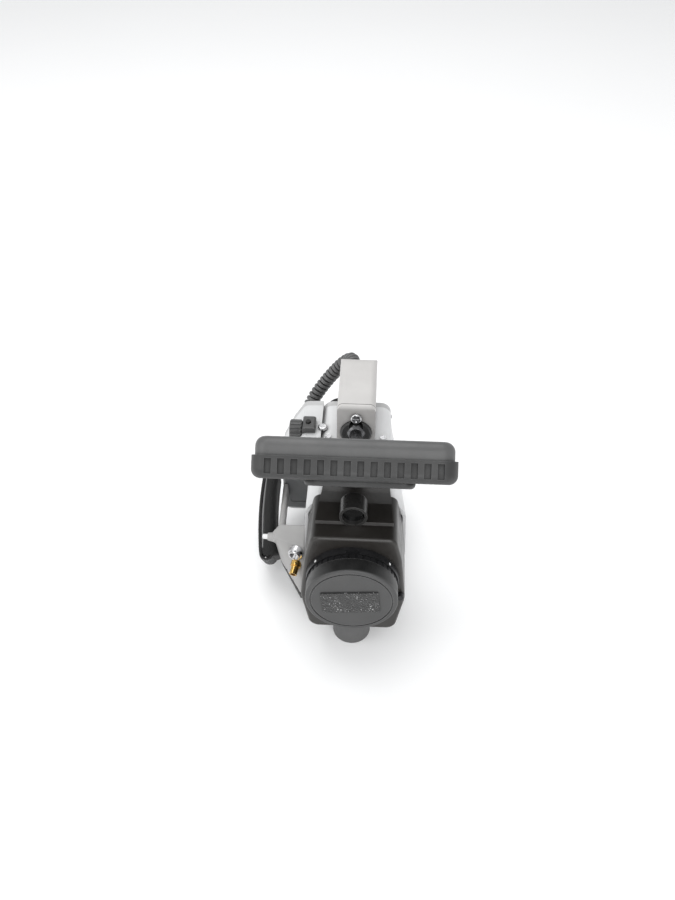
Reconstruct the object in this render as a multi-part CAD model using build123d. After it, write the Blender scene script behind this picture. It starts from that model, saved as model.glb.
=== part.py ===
from build123d import *
import math
import os

# Handheld thermal imaging camera: a tall nose block with a capped germanium lens, a light
# clamshell body, a side grip with a padded hand strap, and a docked top handle that carries
# a tilting display and is wired to the body by a curly cord.
# Frame: +X is the operator's left, +Y runs from the lens back to the operator, +Z is up.
# The origin is the centre of the tripod socket's mouth, in the bottom of the round front foot.

# ---- Driving dimensions, millimetres -------------------------------------------------------
# Body
BODY_X = 0.8
BODY_WIDTH = 82.4
BODY_TOP_WIDTH = 55.0
BODY_SHOULDER = 17.0
TOP_TAPER = 1.0
SHOULDER_TAPER = 13.0
SIDE_TAPER = 6.5
BODY_BOTTOM_Z = 24.0
BODY_TOP_Z = 130.0
BODY_REAR_Y = 137.0
WALL = 2.5
TOP_COVER_DEPTH = 19.0
BASE_PLATE_THICK = 3.0
REAR_COVER_THICK = 6.0
SEAM = 0.2

# Nose
NOSE_FRONT_Y = -16.4
NOSE_DEPTH = 45.0
NOSE_RISE = 2.0
NOSE_WALL = 3.2
DECK_RISE = 2.2
DECK_LENGTH = 60.0
DECK_FRONT_WIDTH = 59.0
DECK_REAR_WIDTH = 49.0

# Lens
LENS_X = 0.5
LENS_Z = 87.3
CAP_DIAMETER = 70.0
CAP_LENGTH = 12.4
CAP_WALL = 3.6
CAP_CLEARANCE = 0.35
CAP_TO_RING = 0.6
RING_LENGTH = 4.0
FLARE_LENGTH = 5.2
FLARE_DIAMETER = 71.6
BARREL_DIAMETER = 58.0
BARREL_BORE = 52.0
BARREL_REAR_Y = 26.0
LENS_THICK = 6.0
FOCUS_TRAVEL = 1.5
RUNNING_FIT = 0.06

# Camera tube on the nose
TUBE_X = 0.0
TUBE_Z = 141.0
TUBE_DIAMETER = 21.0
TUBE_BORE = 17.0
TUBE_FRONT_Y = -2.6
TUBE_LENGTH = 17.0

# Foot and battery
FOOT_DIAMETER = 31.0
SOCKET_RADIUS = 3.175
SOCKET_DEPTH = 12.0
BAY_WIDTH = 70.0
BAY_FRONT_Y = 66.0
BAY_BOTTOM_Z = 2.4
BAY_WALL = 2.2
FOOT_PAD_DIAMETER = 12.0
BATTERY_CLEARANCE = 0.6
DOOR_THICK = 4.0

# Side grip
GRIP_LEFT_X = -67.0
GRIP_FRONT_Y = 117.0
GRIP_BOTTOM_Z = 21.0
GRIP_ARM_FRONT_Y = 93.0
GRIP_ARM_BOTTOM_Z = 102.0
WING_FRONT_Y = 11.2
WING_REAR_Y = 55.0
WING_TOP_Z = 67.0
WING_LEFT_X = -66.0
TRIM_THICK = 3.0
RAIL_WIDTH = 5.0
RAIL_HEIGHT = 15.0

# Hand strap
STRAP_THICK = 12.6
STRAP_HEIGHT = 42.0
STRAP_BOW = 6.0
PIN_RADIUS = 2.2

# Top handle
HANDLE_X = -1.5
HANDLE_WIDTH = 31.0
HANDLE_FRONT_Y = 89.0
HANDLE_REAR_Y = 158.0
HANDLE_TOP_Z = 169.5
HANDLE_WALL = 2.4
HANDLE_SEAM = 0.5
DOCK_THICK = 4.0
FRONT_PLATE_THICK = 4.0
BALL_RADIUS = 9.0
BALL_SINK = 3.0
BALL_Z = 143.0
STEM_RADIUS = 5.0
STEM_PIN_RADIUS = 4.0

# Display
DISPLAY_X = 0.2
DISPLAY_EDGE_Y = 46.2
DISPLAY_EDGE_Z = 152.2
DISPLAY_TILT = 45.0
DISPLAY_WIDTH = 143.6
DISPLAY_HEIGHT = 82.0
BUMPER_THICK = 16.2
FRAME_THICK = 13.4
FRAME_MARGIN = 2.4
BULGE_WIDTH = 78.0
BULGE_SHIFT = 4.0
BULGE_THICK = 3.9
SCREEN_WIDTH = 96.0
SCREEN_HEIGHT = 58.0
GROOVES = 14
GROOVE_PITCH = 9.1

# Curly cord
CORD_DIAMETER = 13.4
BOOT_LENGTH = 5.0

os.makedirs("parts", exist_ok=True)

# ---- Derived places ------------------------------------------------------------------------
BODY_RIGHT_X = BODY_X + BODY_WIDTH / 2
NOSE_REAR_Y = NOSE_FRONT_Y + NOSE_DEPTH
NOSE_TOP_Z = BODY_TOP_Z + NOSE_RISE
SHELL_FRONT_Y = NOSE_REAR_Y + SEAM
FLARE_FRONT_Y = NOSE_FRONT_Y - FLARE_LENGTH
RING_FRONT_Y = FLARE_FRONT_Y - RING_LENGTH
CAP_REAR_Y = RING_FRONT_Y - CAP_TO_RING
CAP_FRONT_Y = CAP_REAR_Y - CAP_LENGTH
HEAD_DIAMETER = CAP_DIAMETER - 2 * CAP_WALL - 2 * CAP_CLEARANCE
HEAD_FRONT_Y = CAP_FRONT_Y + CAP_WALL
COVER_REAR_Y = BODY_REAR_Y + REAR_COVER_THICK


# ---- Helpers -------------------------------------------------------------------------------
def save(name, *shapes):
    """Writes one node, made of one or more separate solids."""
    solids = [solid for shape in shapes for solid in shape.solids()]
    export_step(Compound(children=solids) if len(solids) > 1 else solids[0], f"parts/{name}.step")


def block(x_from, x_to, y_from, y_to, z_from, z_to):
    """A box between two corners."""
    centre = ((x_from + x_to) / 2, (y_from + y_to) / 2, (z_from + z_to) / 2)
    return Pos(*centre) * Box(abs(x_to - x_from), abs(y_to - y_from), abs(z_to - z_from))


def rod_y(x, z, radius, y_from, y_to):
    """A cylinder along Y."""
    plane = Plane(origin=(x, y_from, z), x_dir=(1, 0, 0), z_dir=(0, 1, 0))
    return extrude(plane * Circle(radius), y_to - y_from)


def rod_x(y, z, radius, x_from, x_to):
    """A cylinder along X."""
    plane = Plane(origin=(x_from, y, z), x_dir=(0, 1, 0), z_dir=(1, 0, 0))
    return extrude(plane * Circle(radius), x_to - x_from)


def rod_z(x, y, radius, z_from, z_to):
    """A cylinder along Z."""
    return extrude(Plane(origin=(x, y, z_from)) * Circle(radius), z_to - z_from)


def tube_y(x, z, radius, bore, y_from, y_to):
    """A tube along Y."""
    return rod_y(x, z, radius, y_from, y_to) - rod_y(x, z, bore, y_from - 1, y_to + 1)


def cone_y(x, z, radius_from, radius_to, y_from, y_to):
    """A cone along Y."""
    start = Plane(origin=(x, y_from, z), x_dir=(1, 0, 0), z_dir=(0, 1, 0))
    end = Plane(origin=(x, y_to, z), x_dir=(1, 0, 0), z_dir=(0, 1, 0))
    return loft([start * Circle(radius_from), end * Circle(radius_to)])


def prism_y(points, y_from, y_to, radii=None):
    """An XZ outline swept along Y. radii gives each corner's rounding, in order."""
    face = make_face(Polyline(*[(x, 0, z) for x, z in points], close=True)).face()
    if radii:
        face = rounded(face, [(x, 0, z) for x, z in points], radii)
    return extrude(Pos(0, y_from, 0) * face, y_to - y_from, dir=(0, 1, 0))


def prism_x(points, x_from, x_to, radii=None):
    """A YZ outline swept along X. radii gives each corner's rounding, in order."""
    face = make_face(Polyline(*[(0, y, z) for y, z in points], close=True)).face()
    if radii:
        face = rounded(face, [(0, y, z) for y, z in points], radii)
    return extrude(Pos(x_from, 0, 0) * face, x_to - x_from, dir=(1, 0, 0))


def prism_z(points, z_from, z_to, radii=None):
    """An XY outline swept along Z. radii gives each corner's rounding, in order."""
    face = make_face(Polyline(*[(x, y, 0) for x, y in points], close=True)).face()
    if radii:
        face = rounded(face, [(x, y, 0) for x, y in points], radii)
    return extrude(Pos(0, 0, z_from) * face, z_to - z_from, dir=(0, 0, 1))


def rounded(face, corners, radii):
    """Rounds each listed corner of a flat face by its own radius."""
    for corner, radius in zip(corners, radii):
        if radius > 0:
            vertex = min(face.vertices(), key=lambda v: (v.center() - Vector(*corner)).length)
            face = face.fillet_2d(radius, [vertex])
    return face


def mirrored_outline(half, centre):
    """A closed outline from its right half, listed from the top down, about X = centre."""
    right = [(centre + x, z) for x, z in half]
    left = [(centre - x, z) for x, z in reversed(half)]
    return right + left


# ---- Body section --------------------------------------------------------------------------
def body_face(inset, y):
    """The clamshell's section at one depth, inset by a wall. Its left of +X tapers to the rear."""
    along = (y - SHELL_FRONT_Y) / (BODY_REAR_Y - SHELL_FRONT_Y)
    half_top = BODY_TOP_WIDTH / 2 - inset * 0.45
    half_side = BODY_WIDTH / 2 - inset
    top = BODY_TOP_Z - inset
    bottom = BODY_BOTTOM_Z + inset
    half = [
        (half_top, top, TOP_TAPER),
        (half_side - 1.5, top - BODY_SHOULDER, SHOULDER_TAPER),
        (half_side, LENS_Z - 22.0, SIDE_TAPER),
        (half_side - 7.0, bottom, SIDE_TAPER),
    ]
    right = [(BODY_X + x - taper * along, z) for x, z, taper in half]
    left = [(BODY_X - x, z) for x, z, taper in reversed(half)]
    radii = [9.0 - inset, 12.0 - inset, 24.0 - inset, 10.0 - inset]
    corners = [(x, y, z) for x, z in right + left]
    return rounded(make_face(Polyline(*corners, close=True)).face(), corners, radii + radii[::-1])


def body_solid(inset, y_from, y_to):
    """A solid length of the tapering body."""
    return loft([body_face(inset, y_from), body_face(inset, y_to)], ruled=True)


body_outer = body_solid(0, SHELL_FRONT_Y, BODY_REAR_Y)
body_hollow = body_solid(WALL, SHELL_FRONT_Y - 1, BODY_REAR_Y + 1)
body_wall = body_outer - body_hollow
TOP_SPLIT_Z = BODY_TOP_Z - TOP_COVER_DEPTH
BASE_SPLIT_Z = BODY_BOTTOM_Z + BASE_PLATE_THICK
far = 300.0

tube_clear = rod_y(
    TUBE_X, TUBE_Z, TUBE_DIAMETER / 2 + SEAM / 2, TUBE_FRONT_Y - SEAM, TUBE_FRONT_Y + TUBE_LENGTH,
)
top_cover = body_wall & block(-far, far, -far, far, TOP_SPLIT_Z, far)
side_band = block(-far, far, -far, far, BASE_SPLIT_Z + SEAM, TOP_SPLIT_Z - SEAM)
left_side = body_wall & side_band & block(-far, BODY_X, -far, far, -far, far)
right_side = body_wall & side_band & block(BODY_X, far, -far, far, -far, far)
base_plate = body_wall & block(-far, far, -far, far, -far, BASE_SPLIT_Z)

# ---- Nose ----------------------------------------------------------------------------------
nose_half = [
    (31.5, NOSE_TOP_Z),
    (36.8, 108.0),
    (BODY_WIDTH / 2, LENS_Z - 24.0),
    (34.2, BODY_BOTTOM_Z),
]
nose_radii = [7.0, 30.0, 30.0, 9.0]
nose_outer = prism_y(
    mirrored_outline(nose_half, BODY_X), NOSE_FRONT_Y, NOSE_REAR_Y, nose_radii + nose_radii[::-1],
)
nose_outer = fillet(nose_outer.faces().sort_by(Axis.Y)[0].edges(), 2.4)
nose_hollow_half = [
    (31.5 - NOSE_WALL * 0.8, NOSE_TOP_Z - NOSE_WALL),
    (36.8 - NOSE_WALL, 108.0),
    (BODY_WIDTH / 2 - NOSE_WALL, LENS_Z - 24.0),
    (34.2 - NOSE_WALL * 0.9, BODY_BOTTOM_Z + NOSE_WALL),
]
nose_hollow = prism_y(
    mirrored_outline(nose_hollow_half, BODY_X),
    NOSE_FRONT_Y + NOSE_WALL + 1.0,
    NOSE_REAR_Y + 1,
    [4.0, 27.0, 27.0, 6.0, 6.0, 27.0, 27.0, 4.0],
)
KNOB_X = LENS_X + 37.2
KNOB_Z = LENS_Z - 18.0
KNOB_RADIUS = 3.0
nose_bezel = nose_outer - nose_hollow
nose_bezel -= rod_y(LENS_X, LENS_Z, BARREL_DIAMETER / 2 + SEAM, NOSE_FRONT_Y - 1, NOSE_REAR_Y)
nose_bezel -= rod_y(KNOB_X, KNOB_Z, KNOB_RADIUS + 0.3, NOSE_FRONT_Y - 1, NOSE_REAR_Y)
nose_bezel -= tube_clear

deck_side = [
    (TUBE_FRONT_Y + 0.6, NOSE_TOP_Z),
    (TUBE_FRONT_Y + 1.6, NOSE_TOP_Z + DECK_RISE),
    (NOSE_REAR_Y - 10, NOSE_TOP_Z + DECK_RISE),
    (NOSE_REAR_Y + 4, BODY_TOP_Z + 1.6),
    (DECK_LENGTH, BODY_TOP_Z + 1.6),
    (DECK_LENGTH, BODY_TOP_Z),
    (NOSE_REAR_Y, BODY_TOP_Z),
    (NOSE_REAR_Y, NOSE_TOP_Z),
]
deck_plan = [
    (-DECK_FRONT_WIDTH / 2, TUBE_FRONT_Y),
    (DECK_FRONT_WIDTH / 2, TUBE_FRONT_Y),
    (DECK_REAR_WIDTH / 2, DECK_LENGTH),
    (-DECK_REAR_WIDTH / 2, DECK_LENGTH),
]
deck = prism_x(deck_side, BODY_X - far, BODY_X + far)
deck &= Pos(BODY_X, 0, 0) * prism_z(deck_plan, 0, far)
save("nose_block", nose_bezel + (deck - tube_clear))

# ---- Lens ----------------------------------------------------------------------------------
barrel = rod_y(LENS_X, LENS_Z, HEAD_DIAMETER / 2, HEAD_FRONT_Y + 0.8, FLARE_FRONT_Y - SEAM / 2)
barrel += rod_y(LENS_X, LENS_Z, BARREL_DIAMETER / 2, FLARE_FRONT_Y - 1, BARREL_REAR_Y)
barrel -= rod_y(LENS_X, LENS_Z, BARREL_BORE / 2, HEAD_FRONT_Y, BARREL_REAR_Y + 1)
mount_ring = cone_y(LENS_X, LENS_Z, CAP_DIAMETER / 2 + 0.4, FLARE_DIAMETER / 2, FLARE_FRONT_Y, NOSE_FRONT_Y)
mount_ring -= rod_y(LENS_X, LENS_Z, BARREL_BORE / 2, FLARE_FRONT_Y - 1, NOSE_FRONT_Y + 1)
mount_ring -= block(LENS_X - 5, LENS_X + 5, FLARE_FRONT_Y - 1, FLARE_FRONT_Y + 2.4, LENS_Z + 33.6, far)
mount_ring -= rod_y(KNOB_X, KNOB_Z, KNOB_RADIUS + 0.5, FLARE_FRONT_Y - 1, NOSE_FRONT_Y + 1)
save("lens_barrel", barrel + mount_ring)

focus_ring = tube_y(
    LENS_X, LENS_Z, CAP_DIAMETER / 2 - 0.6,
    HEAD_DIAMETER / 2 + RUNNING_FIT, RING_FRONT_Y, FLARE_FRONT_Y - 0.35
)
RING_RIBS = 40
for rib in range(RING_RIBS):
    angle = math.radians(360 / RING_RIBS * (rib + 0.5))
    notch_radius = CAP_DIAMETER / 2 - 0.2
    focus_ring -= rod_y(
        LENS_X + notch_radius * math.cos(angle),
        LENS_Z + notch_radius * math.sin(angle),
        1.1,
        RING_FRONT_Y - 1,
        FLARE_FRONT_Y,
    )
save("focus_ring", focus_ring)

TUBE_WALL = 2.4
focus_tube = tube_y(
    LENS_X,
    LENS_Z,
    BARREL_BORE / 2 - RUNNING_FIT,
    BARREL_BORE / 2 - TUBE_WALL,
    FLARE_FRONT_Y + FOCUS_TRAVEL,
    BARREL_REAR_Y - 4 - FOCUS_TRAVEL,
)
save("focus_tube", focus_tube)

lens_bulge = 2.2
lens_radius = BARREL_BORE / 2 - 0.05
front_lens_y = HEAD_FRONT_Y + 3.6 + lens_bulge
front_sphere = (lens_radius**2 + lens_bulge**2) / (2 * lens_bulge)
front_lens = rod_y(LENS_X, LENS_Z, lens_radius, front_lens_y - lens_bulge, front_lens_y + LENS_THICK)
front_lens &= Pos(LENS_X, front_lens_y - lens_bulge + front_sphere, LENS_Z) * Sphere(front_sphere)
save("front_lens", front_lens)

rear_lens_y = BARREL_REAR_Y - 14
rear_lens = rod_y(LENS_X, LENS_Z, BARREL_BORE / 2 - TUBE_WALL - 0.05, rear_lens_y, rear_lens_y + LENS_THICK)
save("rear_lens", rear_lens)

cap = rod_y(LENS_X, LENS_Z, CAP_DIAMETER / 2, CAP_FRONT_Y, CAP_REAR_Y)
cap = fillet(cap.faces().sort_by(Axis.Y)[0].edges(), 1.4)
cap -= rod_y(LENS_X, LENS_Z, CAP_DIAMETER / 2 - CAP_WALL, HEAD_FRONT_Y, CAP_REAR_Y + 1)
CAP_GROOVE_RADIUS = 31.0
CAP_GROOVE = 1.2
cap -= tube_y(
    LENS_X, LENS_Z, CAP_GROOVE_RADIUS + CAP_GROOVE / 2, CAP_GROOVE_RADIUS - CAP_GROOVE / 2, CAP_FRONT_Y - 1,
    CAP_FRONT_Y + 0.7,
)
save("lens_cap", cap)

PATCH_WIDTH = 43.0
PATCH_HEIGHT = 23.0
PATCH_THICK = 1.2
PATCH_TURN = 5.0
patch = Pos(LENS_X - 0.6, CAP_FRONT_Y - PATCH_THICK / 2, LENS_Z - 1.0) * Rot(0, -PATCH_TURN, 0) * Box(
    PATCH_WIDTH, PATCH_THICK, PATCH_HEIGHT
)
save("cap_patch", patch)

lock_knob = rod_y(KNOB_X, KNOB_Z, KNOB_RADIUS, NOSE_FRONT_Y - 4.2, NOSE_FRONT_Y + 5)
lock_knob = fillet(lock_knob.faces().sort_by(Axis.Y)[0].edges(), 0.8)
save("lens_lock_knob", lock_knob)

# ---- Camera tube ---------------------------------------------------------------------------
camera_tube = rod_y(TUBE_X, TUBE_Z, TUBE_DIAMETER / 2, TUBE_FRONT_Y, TUBE_FRONT_Y + TUBE_LENGTH - SEAM)
camera_tube = fillet(camera_tube.faces().sort_by(Axis.Y)[-1].edges(), 3.0)
camera_tube -= rod_y(TUBE_X, TUBE_Z, TUBE_BORE / 2, TUBE_FRONT_Y - 1, TUBE_FRONT_Y + TUBE_LENGTH - 3)
save("camera_tube", camera_tube)
camera_lens = rod_y(TUBE_X, TUBE_Z, TUBE_BORE / 2 - 0.05, TUBE_FRONT_Y + 4, TUBE_FRONT_Y + 7)
save("camera_tube_window", camera_lens)

# ---- Foot, battery bay and feet ------------------------------------------------------------
foot = rod_z(0, 0, FOOT_DIAMETER / 2, 0, BODY_BOTTOM_Z)
foot = fillet(foot.edges().sort_by(Axis.Z)[0], 1.2)
foot -= rod_z(0, 0, SOCKET_RADIUS, -1, SOCKET_DEPTH)
save("tripod_foot", foot)

bay_left = BODY_X - BAY_WIDTH / 2
bay_right = BODY_X + BAY_WIDTH / 2
bay_inner_left = bay_left + BAY_WALL
bay_inner_right = bay_right - BAY_WALL
bay_inner_bottom = BAY_BOTTOM_Z + BAY_WALL
bay_inner_top = BODY_BOTTOM_Z - BAY_WALL
bay = block(bay_left, bay_right, BAY_FRONT_Y, BODY_REAR_Y, BAY_BOTTOM_Z, BODY_BOTTOM_Z)
bay = fillet(bay.edges().filter_by(Axis.Z).group_by(Axis.Y)[0], 8)
bay -= block(
    bay_inner_left, bay_inner_right, BAY_FRONT_Y + 8, BODY_REAR_Y + 1, bay_inner_bottom, bay_inner_top
)

battery = block(
    bay_inner_left + BATTERY_CLEARANCE,
    bay_inner_right - BATTERY_CLEARANCE,
    BAY_FRONT_Y + 9.5,
    BODY_REAR_Y - 1.5,
    bay_inner_bottom,
    bay_inner_top - BATTERY_CLEARANCE,
)
battery = fillet(battery.edges().filter_by(Axis.Y), 3)
save("battery_pack", battery)

HINGE_RADIUS = 2.0
HINGE_Y = BODY_REAR_Y + DOOR_THICK / 2 + 0.4
HINGE_Z = BAY_BOTTOM_Z + HINGE_RADIUS + 0.1
door_front_y = BODY_REAR_Y + 0.4
door = block(
    bay_left + 1, bay_right - 1, door_front_y, door_front_y + DOOR_THICK, HINGE_Z, BODY_BOTTOM_Z - 0.6
)
door += rod_x(HINGE_Y, HINGE_Z, HINGE_RADIUS, bay_left + 1, bay_right - 1)
LATCH_WIDTH = 16.0
LATCH_HEIGHT = 7.0
latch_z = BODY_BOTTOM_Z - 10.5
latch_slot = block(
    BODY_X - LATCH_WIDTH / 2 - 0.3,
    BODY_X + LATCH_WIDTH / 2 + 0.3,
    door_front_y + DOOR_THICK - 2.2,
    door_front_y + DOOR_THICK + 1,
    latch_z - 3,
    latch_z + LATCH_HEIGHT + 0.3,
)
door -= latch_slot
HINGE_PIN_RADIUS = 1.0
door -= rod_x(HINGE_Y, HINGE_Z, HINGE_PIN_RADIUS + RUNNING_FIT, bay_left - 1, bay_right + 1)
ear_width = 5.0
for ear_from in (bay_left - ear_width + 0.6, bay_right - 0.6):
    ear = block(ear_from, ear_from + ear_width, BODY_REAR_Y - 8, HINGE_Y + 2, BAY_BOTTOM_Z, BAY_BOTTOM_Z + 8)
    ear -= block(bay_left + 1, bay_right - 1, BODY_REAR_Y, far, 0, far)
    bay += ear
bay += rod_x(HINGE_Y, HINGE_Z, HINGE_PIN_RADIUS, bay_left - 1, bay_right + 1)
save("battery_bay", bay)
door -= block(bay_left, bay_left + 1.4, 0, far, 0, far)
door -= block(bay_right - 1.4, bay_right, 0, far, 0, far)
save("battery_door", door)
latch = block(
    BODY_X - LATCH_WIDTH / 2,
    BODY_X + LATCH_WIDTH / 2,
    door_front_y + DOOR_THICK - 2,
    door_front_y + DOOR_THICK + 0.8,
    latch_z,
    latch_z + LATCH_HEIGHT,
)
save("battery_latch", latch)

pads = []
for side in (-1, 1):
    pads.append(rod_z(BODY_X + side * 26, BODY_REAR_Y - 14, FOOT_PAD_DIAMETER / 2, 0, BAY_BOTTOM_Z))
save("rear_feet", *pads)

# ---- Side grip -----------------------------------------------------------------------------
grip_outline = [
    (-31.0, BODY_TOP_Z - 0.2),
    (-46.5, BODY_TOP_Z - 0.8),
    (-56.5, BODY_TOP_Z - 17.0),
    (GRIP_LEFT_X, BODY_TOP_Z - 40.0),
    (GRIP_LEFT_X, GRIP_BOTTOM_Z),
    (-36.5, GRIP_BOTTOM_Z),
    (-34.5, GRIP_BOTTOM_Z + 8),
    (-31.0, 100.0),
]
grip_radii = [0, 6.0, 12.0, 14.0, 8.0, 1.0, 0, 0]
body_long = body_solid(0, NOSE_FRONT_Y, COVER_REAR_Y + 20)
grip = prism_y(grip_outline, GRIP_ARM_FRONT_Y, BODY_REAR_Y, grip_radii)
grip -= block(-far, far, -far, GRIP_FRONT_Y, -far, GRIP_ARM_BOTTOM_Z)
grip_inner = [
    (-38.0, BODY_TOP_Z - 4.5),
    (-45.5, BODY_TOP_Z - 4.5),
    (-53.5, BODY_TOP_Z - 18.0),
    (GRIP_LEFT_X + 3, BODY_TOP_Z - 41.0),
    (GRIP_LEFT_X + 3, GRIP_BOTTOM_Z + 3),
    (-38.0, GRIP_BOTTOM_Z + 3),
]
grip -= prism_y(grip_inner, GRIP_FRONT_Y + 3, BODY_REAR_Y + 1, [2.0, 5.0, 8.0, 10.0, 5.0, 2.0])
grip -= body_long

WHEEL_Y = 109.0
WHEEL_Z = 125.6
WHEEL_RADIUS = 9.0
WHEEL_LEFT_X = -57.6
WHEEL_RIGHT_X = -47.4
AXLE_RADIUS = 1.5
CONTROL_WIDTH = 11.0
CONTROL_RIGHT_X = WHEEL_RIGHT_X + 0.6 + CONTROL_WIDTH
CONTROL_TOP_Z = 134.8
control = block(
    WHEEL_RIGHT_X + 0.6, CONTROL_RIGHT_X, WHEEL_Y - 7.5, WHEEL_Y + 7.5, BODY_TOP_Z - 12, CONTROL_TOP_Z
)
control = fillet(control.edges().filter_by(Axis.Y).group_by(Axis.Z)[-1], 2.0)
control -= grip
control -= body_long
BUTTON_X = WHEEL_RIGHT_X + 5.4
BUTTON_RADIUS = 2.2
control -= rod_z(BUTTON_X, WHEEL_Y, BUTTON_RADIUS + 0.25, CONTROL_TOP_Z - 3, CONTROL_TOP_Z + 1)
axle = rod_x(WHEEL_Y, WHEEL_Z, AXLE_RADIUS, WHEEL_LEFT_X + 1, WHEEL_RIGHT_X + 5)
control = max(control.solids(), key=lambda s: s.volume) + axle
save("control_housing", control)
grip -= control
grip -= rod_x(WHEEL_Y, WHEEL_Z, WHEEL_RADIUS + 0.6, WHEEL_LEFT_X - 0.6, WHEEL_RIGHT_X + 0.5)

wheel = rod_x(WHEEL_Y, WHEEL_Z, WHEEL_RADIUS, WHEEL_LEFT_X, WHEEL_RIGHT_X)
wheel = chamfer(wheel.edges(), 1.0)
WHEEL_RIBS = 16
for rib in range(WHEEL_RIBS):
    angle = math.radians(360 / WHEEL_RIBS * rib)
    y = WHEEL_Y + (WHEEL_RADIUS + 0.4) * math.cos(angle)
    z = WHEEL_Z + (WHEEL_RADIUS + 0.4) * math.sin(angle)
    wheel -= rod_x(y, z, 1.2, WHEEL_LEFT_X - 1, WHEEL_RIGHT_X + 1)
wheel -= rod_x(WHEEL_Y, WHEEL_Z, AXLE_RADIUS + RUNNING_FIT, WHEEL_LEFT_X - 1, WHEEL_RIGHT_X + 1)
save("control_wheel", wheel)
record_button = rod_z(BUTTON_X, WHEEL_Y, BUTTON_RADIUS, CONTROL_TOP_Z - 1.6, CONTROL_TOP_Z + 1.8)
save("record_button", fillet(record_button.edges().sort_by(Axis.Z)[-1], 0.7))

wing_low = [
    (-30, WING_FRONT_Y), (-43.4, WING_FRONT_Y), (-62, 46), (-64, 51), (-62, WING_REAR_Y),
    (-30, WING_REAR_Y),
]
wing_high = [(-30, 31), (-44, 31), (WING_LEFT_X, 38), (-69, 46), (-64, WING_REAR_Y), (-30, WING_REAR_Y)]
wing_faces = []
for points, z in ((wing_low, BODY_BOTTOM_Z), (wing_high, WING_TOP_Z)):
    wing_faces.append(Pos(0, 0, z) * make_face(Polyline(*points, close=True)))
wing_full = loft(wing_faces, ruled=True)
wing_full -= nose_outer
wing_full -= body_solid(0, NOSE_REAR_Y - 1, COVER_REAR_Y)
wing_full = max(wing_full.solids(), key=lambda s: s.volume)
trim = wing_full & block(-far, far, -far, far, -far, BODY_BOTTOM_Z + TRIM_THICK)
wing = wing_full & block(-far, far, -far, far, BODY_BOTTOM_Z + TRIM_THICK, far)
wing -= block(-57, -36, 36, WING_REAR_Y - 3, BODY_BOTTOM_Z + TRIM_THICK, WING_TOP_Z - 4)


def connector(origin, direction, sizes):
    """A stack of rounds from a point along a direction: (radius, start, end) each."""
    plane = Plane(origin=origin, z_dir=direction)
    stack = None
    for radius, start, end in sizes:
        piece = extrude(plane.offset(start) * Circle(radius), end - start)
        stack = piece if stack is None else stack + piece
    return stack, plane


CHROME_AT = (-48.0, 29.0, 60.5)
CHROME_WAY = (-0.3, -0.95, -0.05)
chrome, chrome_plane = connector(CHROME_AT, CHROME_WAY, [(6.2, -3, 1.8), (4.9, 1.8, 3.8)])
wing -= chrome
chrome -= extrude(chrome_plane.offset(1.2) * Circle(3.9), 5)
save("round_connector", chrome)
BRASS_AT = (-47.8, 24.8, 50.0)
BRASS_WAY = (-0.22, -0.92, -0.3)
brass, brass_plane = connector(BRASS_AT, BRASS_WAY, [(4.4, -3, 1.4), (3.2, 1.4, 8.6)])
wing -= brass
brass -= extrude(brass_plane.offset(3.0) * Circle(2.3), 8)
save("coax_jack", brass)
PIN_Y = 49.0
PIN_Z = WING_TOP_Z - 10
pin_end_x = -78.0
lug = loft(
    [
        Plane(origin=(-60, PIN_Y - 1, PIN_Z), x_dir=(0, 1, 0), z_dir=(-1, 0, 0)) * Circle(5.6),
        Plane(origin=(-74, PIN_Y, PIN_Z), x_dir=(0, 1, 0), z_dir=(-1, 0, 0)) * Circle(3.4),
    ]
)
strap_pin = rod_x(PIN_Y, PIN_Z, PIN_RADIUS, pin_end_x, -70)
wing += lug
wing -= strap_pin
wing = max(wing.solids(), key=lambda s: s.volume)
save("strap_pin", fillet(strap_pin.edges().sort_by(Axis.X)[0], 1.4))

rail_front = (-62.0, WING_REAR_Y - 2, WING_TOP_Z - RAIL_HEIGHT / 2)
rail_rear = (GRIP_LEFT_X + RAIL_WIDTH / 2, GRIP_FRONT_Y, 46.0)
rail_faces = []
for x, y, z in (rail_front, rail_rear):
    plane = Plane(origin=(x, y, z), x_dir=(1, 0, 0), z_dir=(0, 1, 0))
    rail_faces.append(plane * RectangleRounded(RAIL_WIDTH, RAIL_HEIGHT, 2.2))
wing += loft(rail_faces, ruled=True)
wing -= block(-far, far, GRIP_FRONT_Y, far, -far, far)
save("grip_wing", wing)
base_plate = base_plate + trim
save("base_plate", base_plate)

# ---- Hand strap ----------------------------------------------------------------------------
strap_in_x = -69.2
STRAP_FRONT_Y = 55.0
STRAP_REAR_Y = 124.0


def strap_arc(out):
    """The strap's plan curve, moved outward."""
    middle = (STRAP_FRONT_Y + STRAP_REAR_Y) / 2
    front = Vector(strap_in_x - out, STRAP_FRONT_Y)
    rear = Vector(strap_in_x - out, STRAP_REAR_Y)
    crest = Vector(strap_in_x - out - STRAP_BOW * 0.25, middle)
    return ThreePointArc(front, crest, rear)


inner_arc = strap_arc(0)
outer_arc = strap_arc(STRAP_THICK)
strap_lines = [inner_arc, Line(inner_arc @ 1, outer_arc @ 1), outer_arc, Line(outer_arc @ 0, inner_arc @ 0)]
strap_plan = make_face(Wire(strap_lines).edges())
strap = extrude(strap_plan, 200)
STRAP_LOW_Z = 4.0
STRAP_CLIMB = 42.0
strap_side = [
    (STRAP_FRONT_Y - 1, STRAP_LOW_Z),
    (STRAP_REAR_Y + 1, STRAP_LOW_Z + STRAP_CLIMB),
    (STRAP_REAR_Y + 1, STRAP_LOW_Z + STRAP_CLIMB + STRAP_HEIGHT),
    (STRAP_FRONT_Y - 1, STRAP_LOW_Z + STRAP_HEIGHT),
]
strap = prism_x(strap_side, -far, far) & strap
save("hand_strap", max(strap.solids(), key=lambda s: s.volume))

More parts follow.
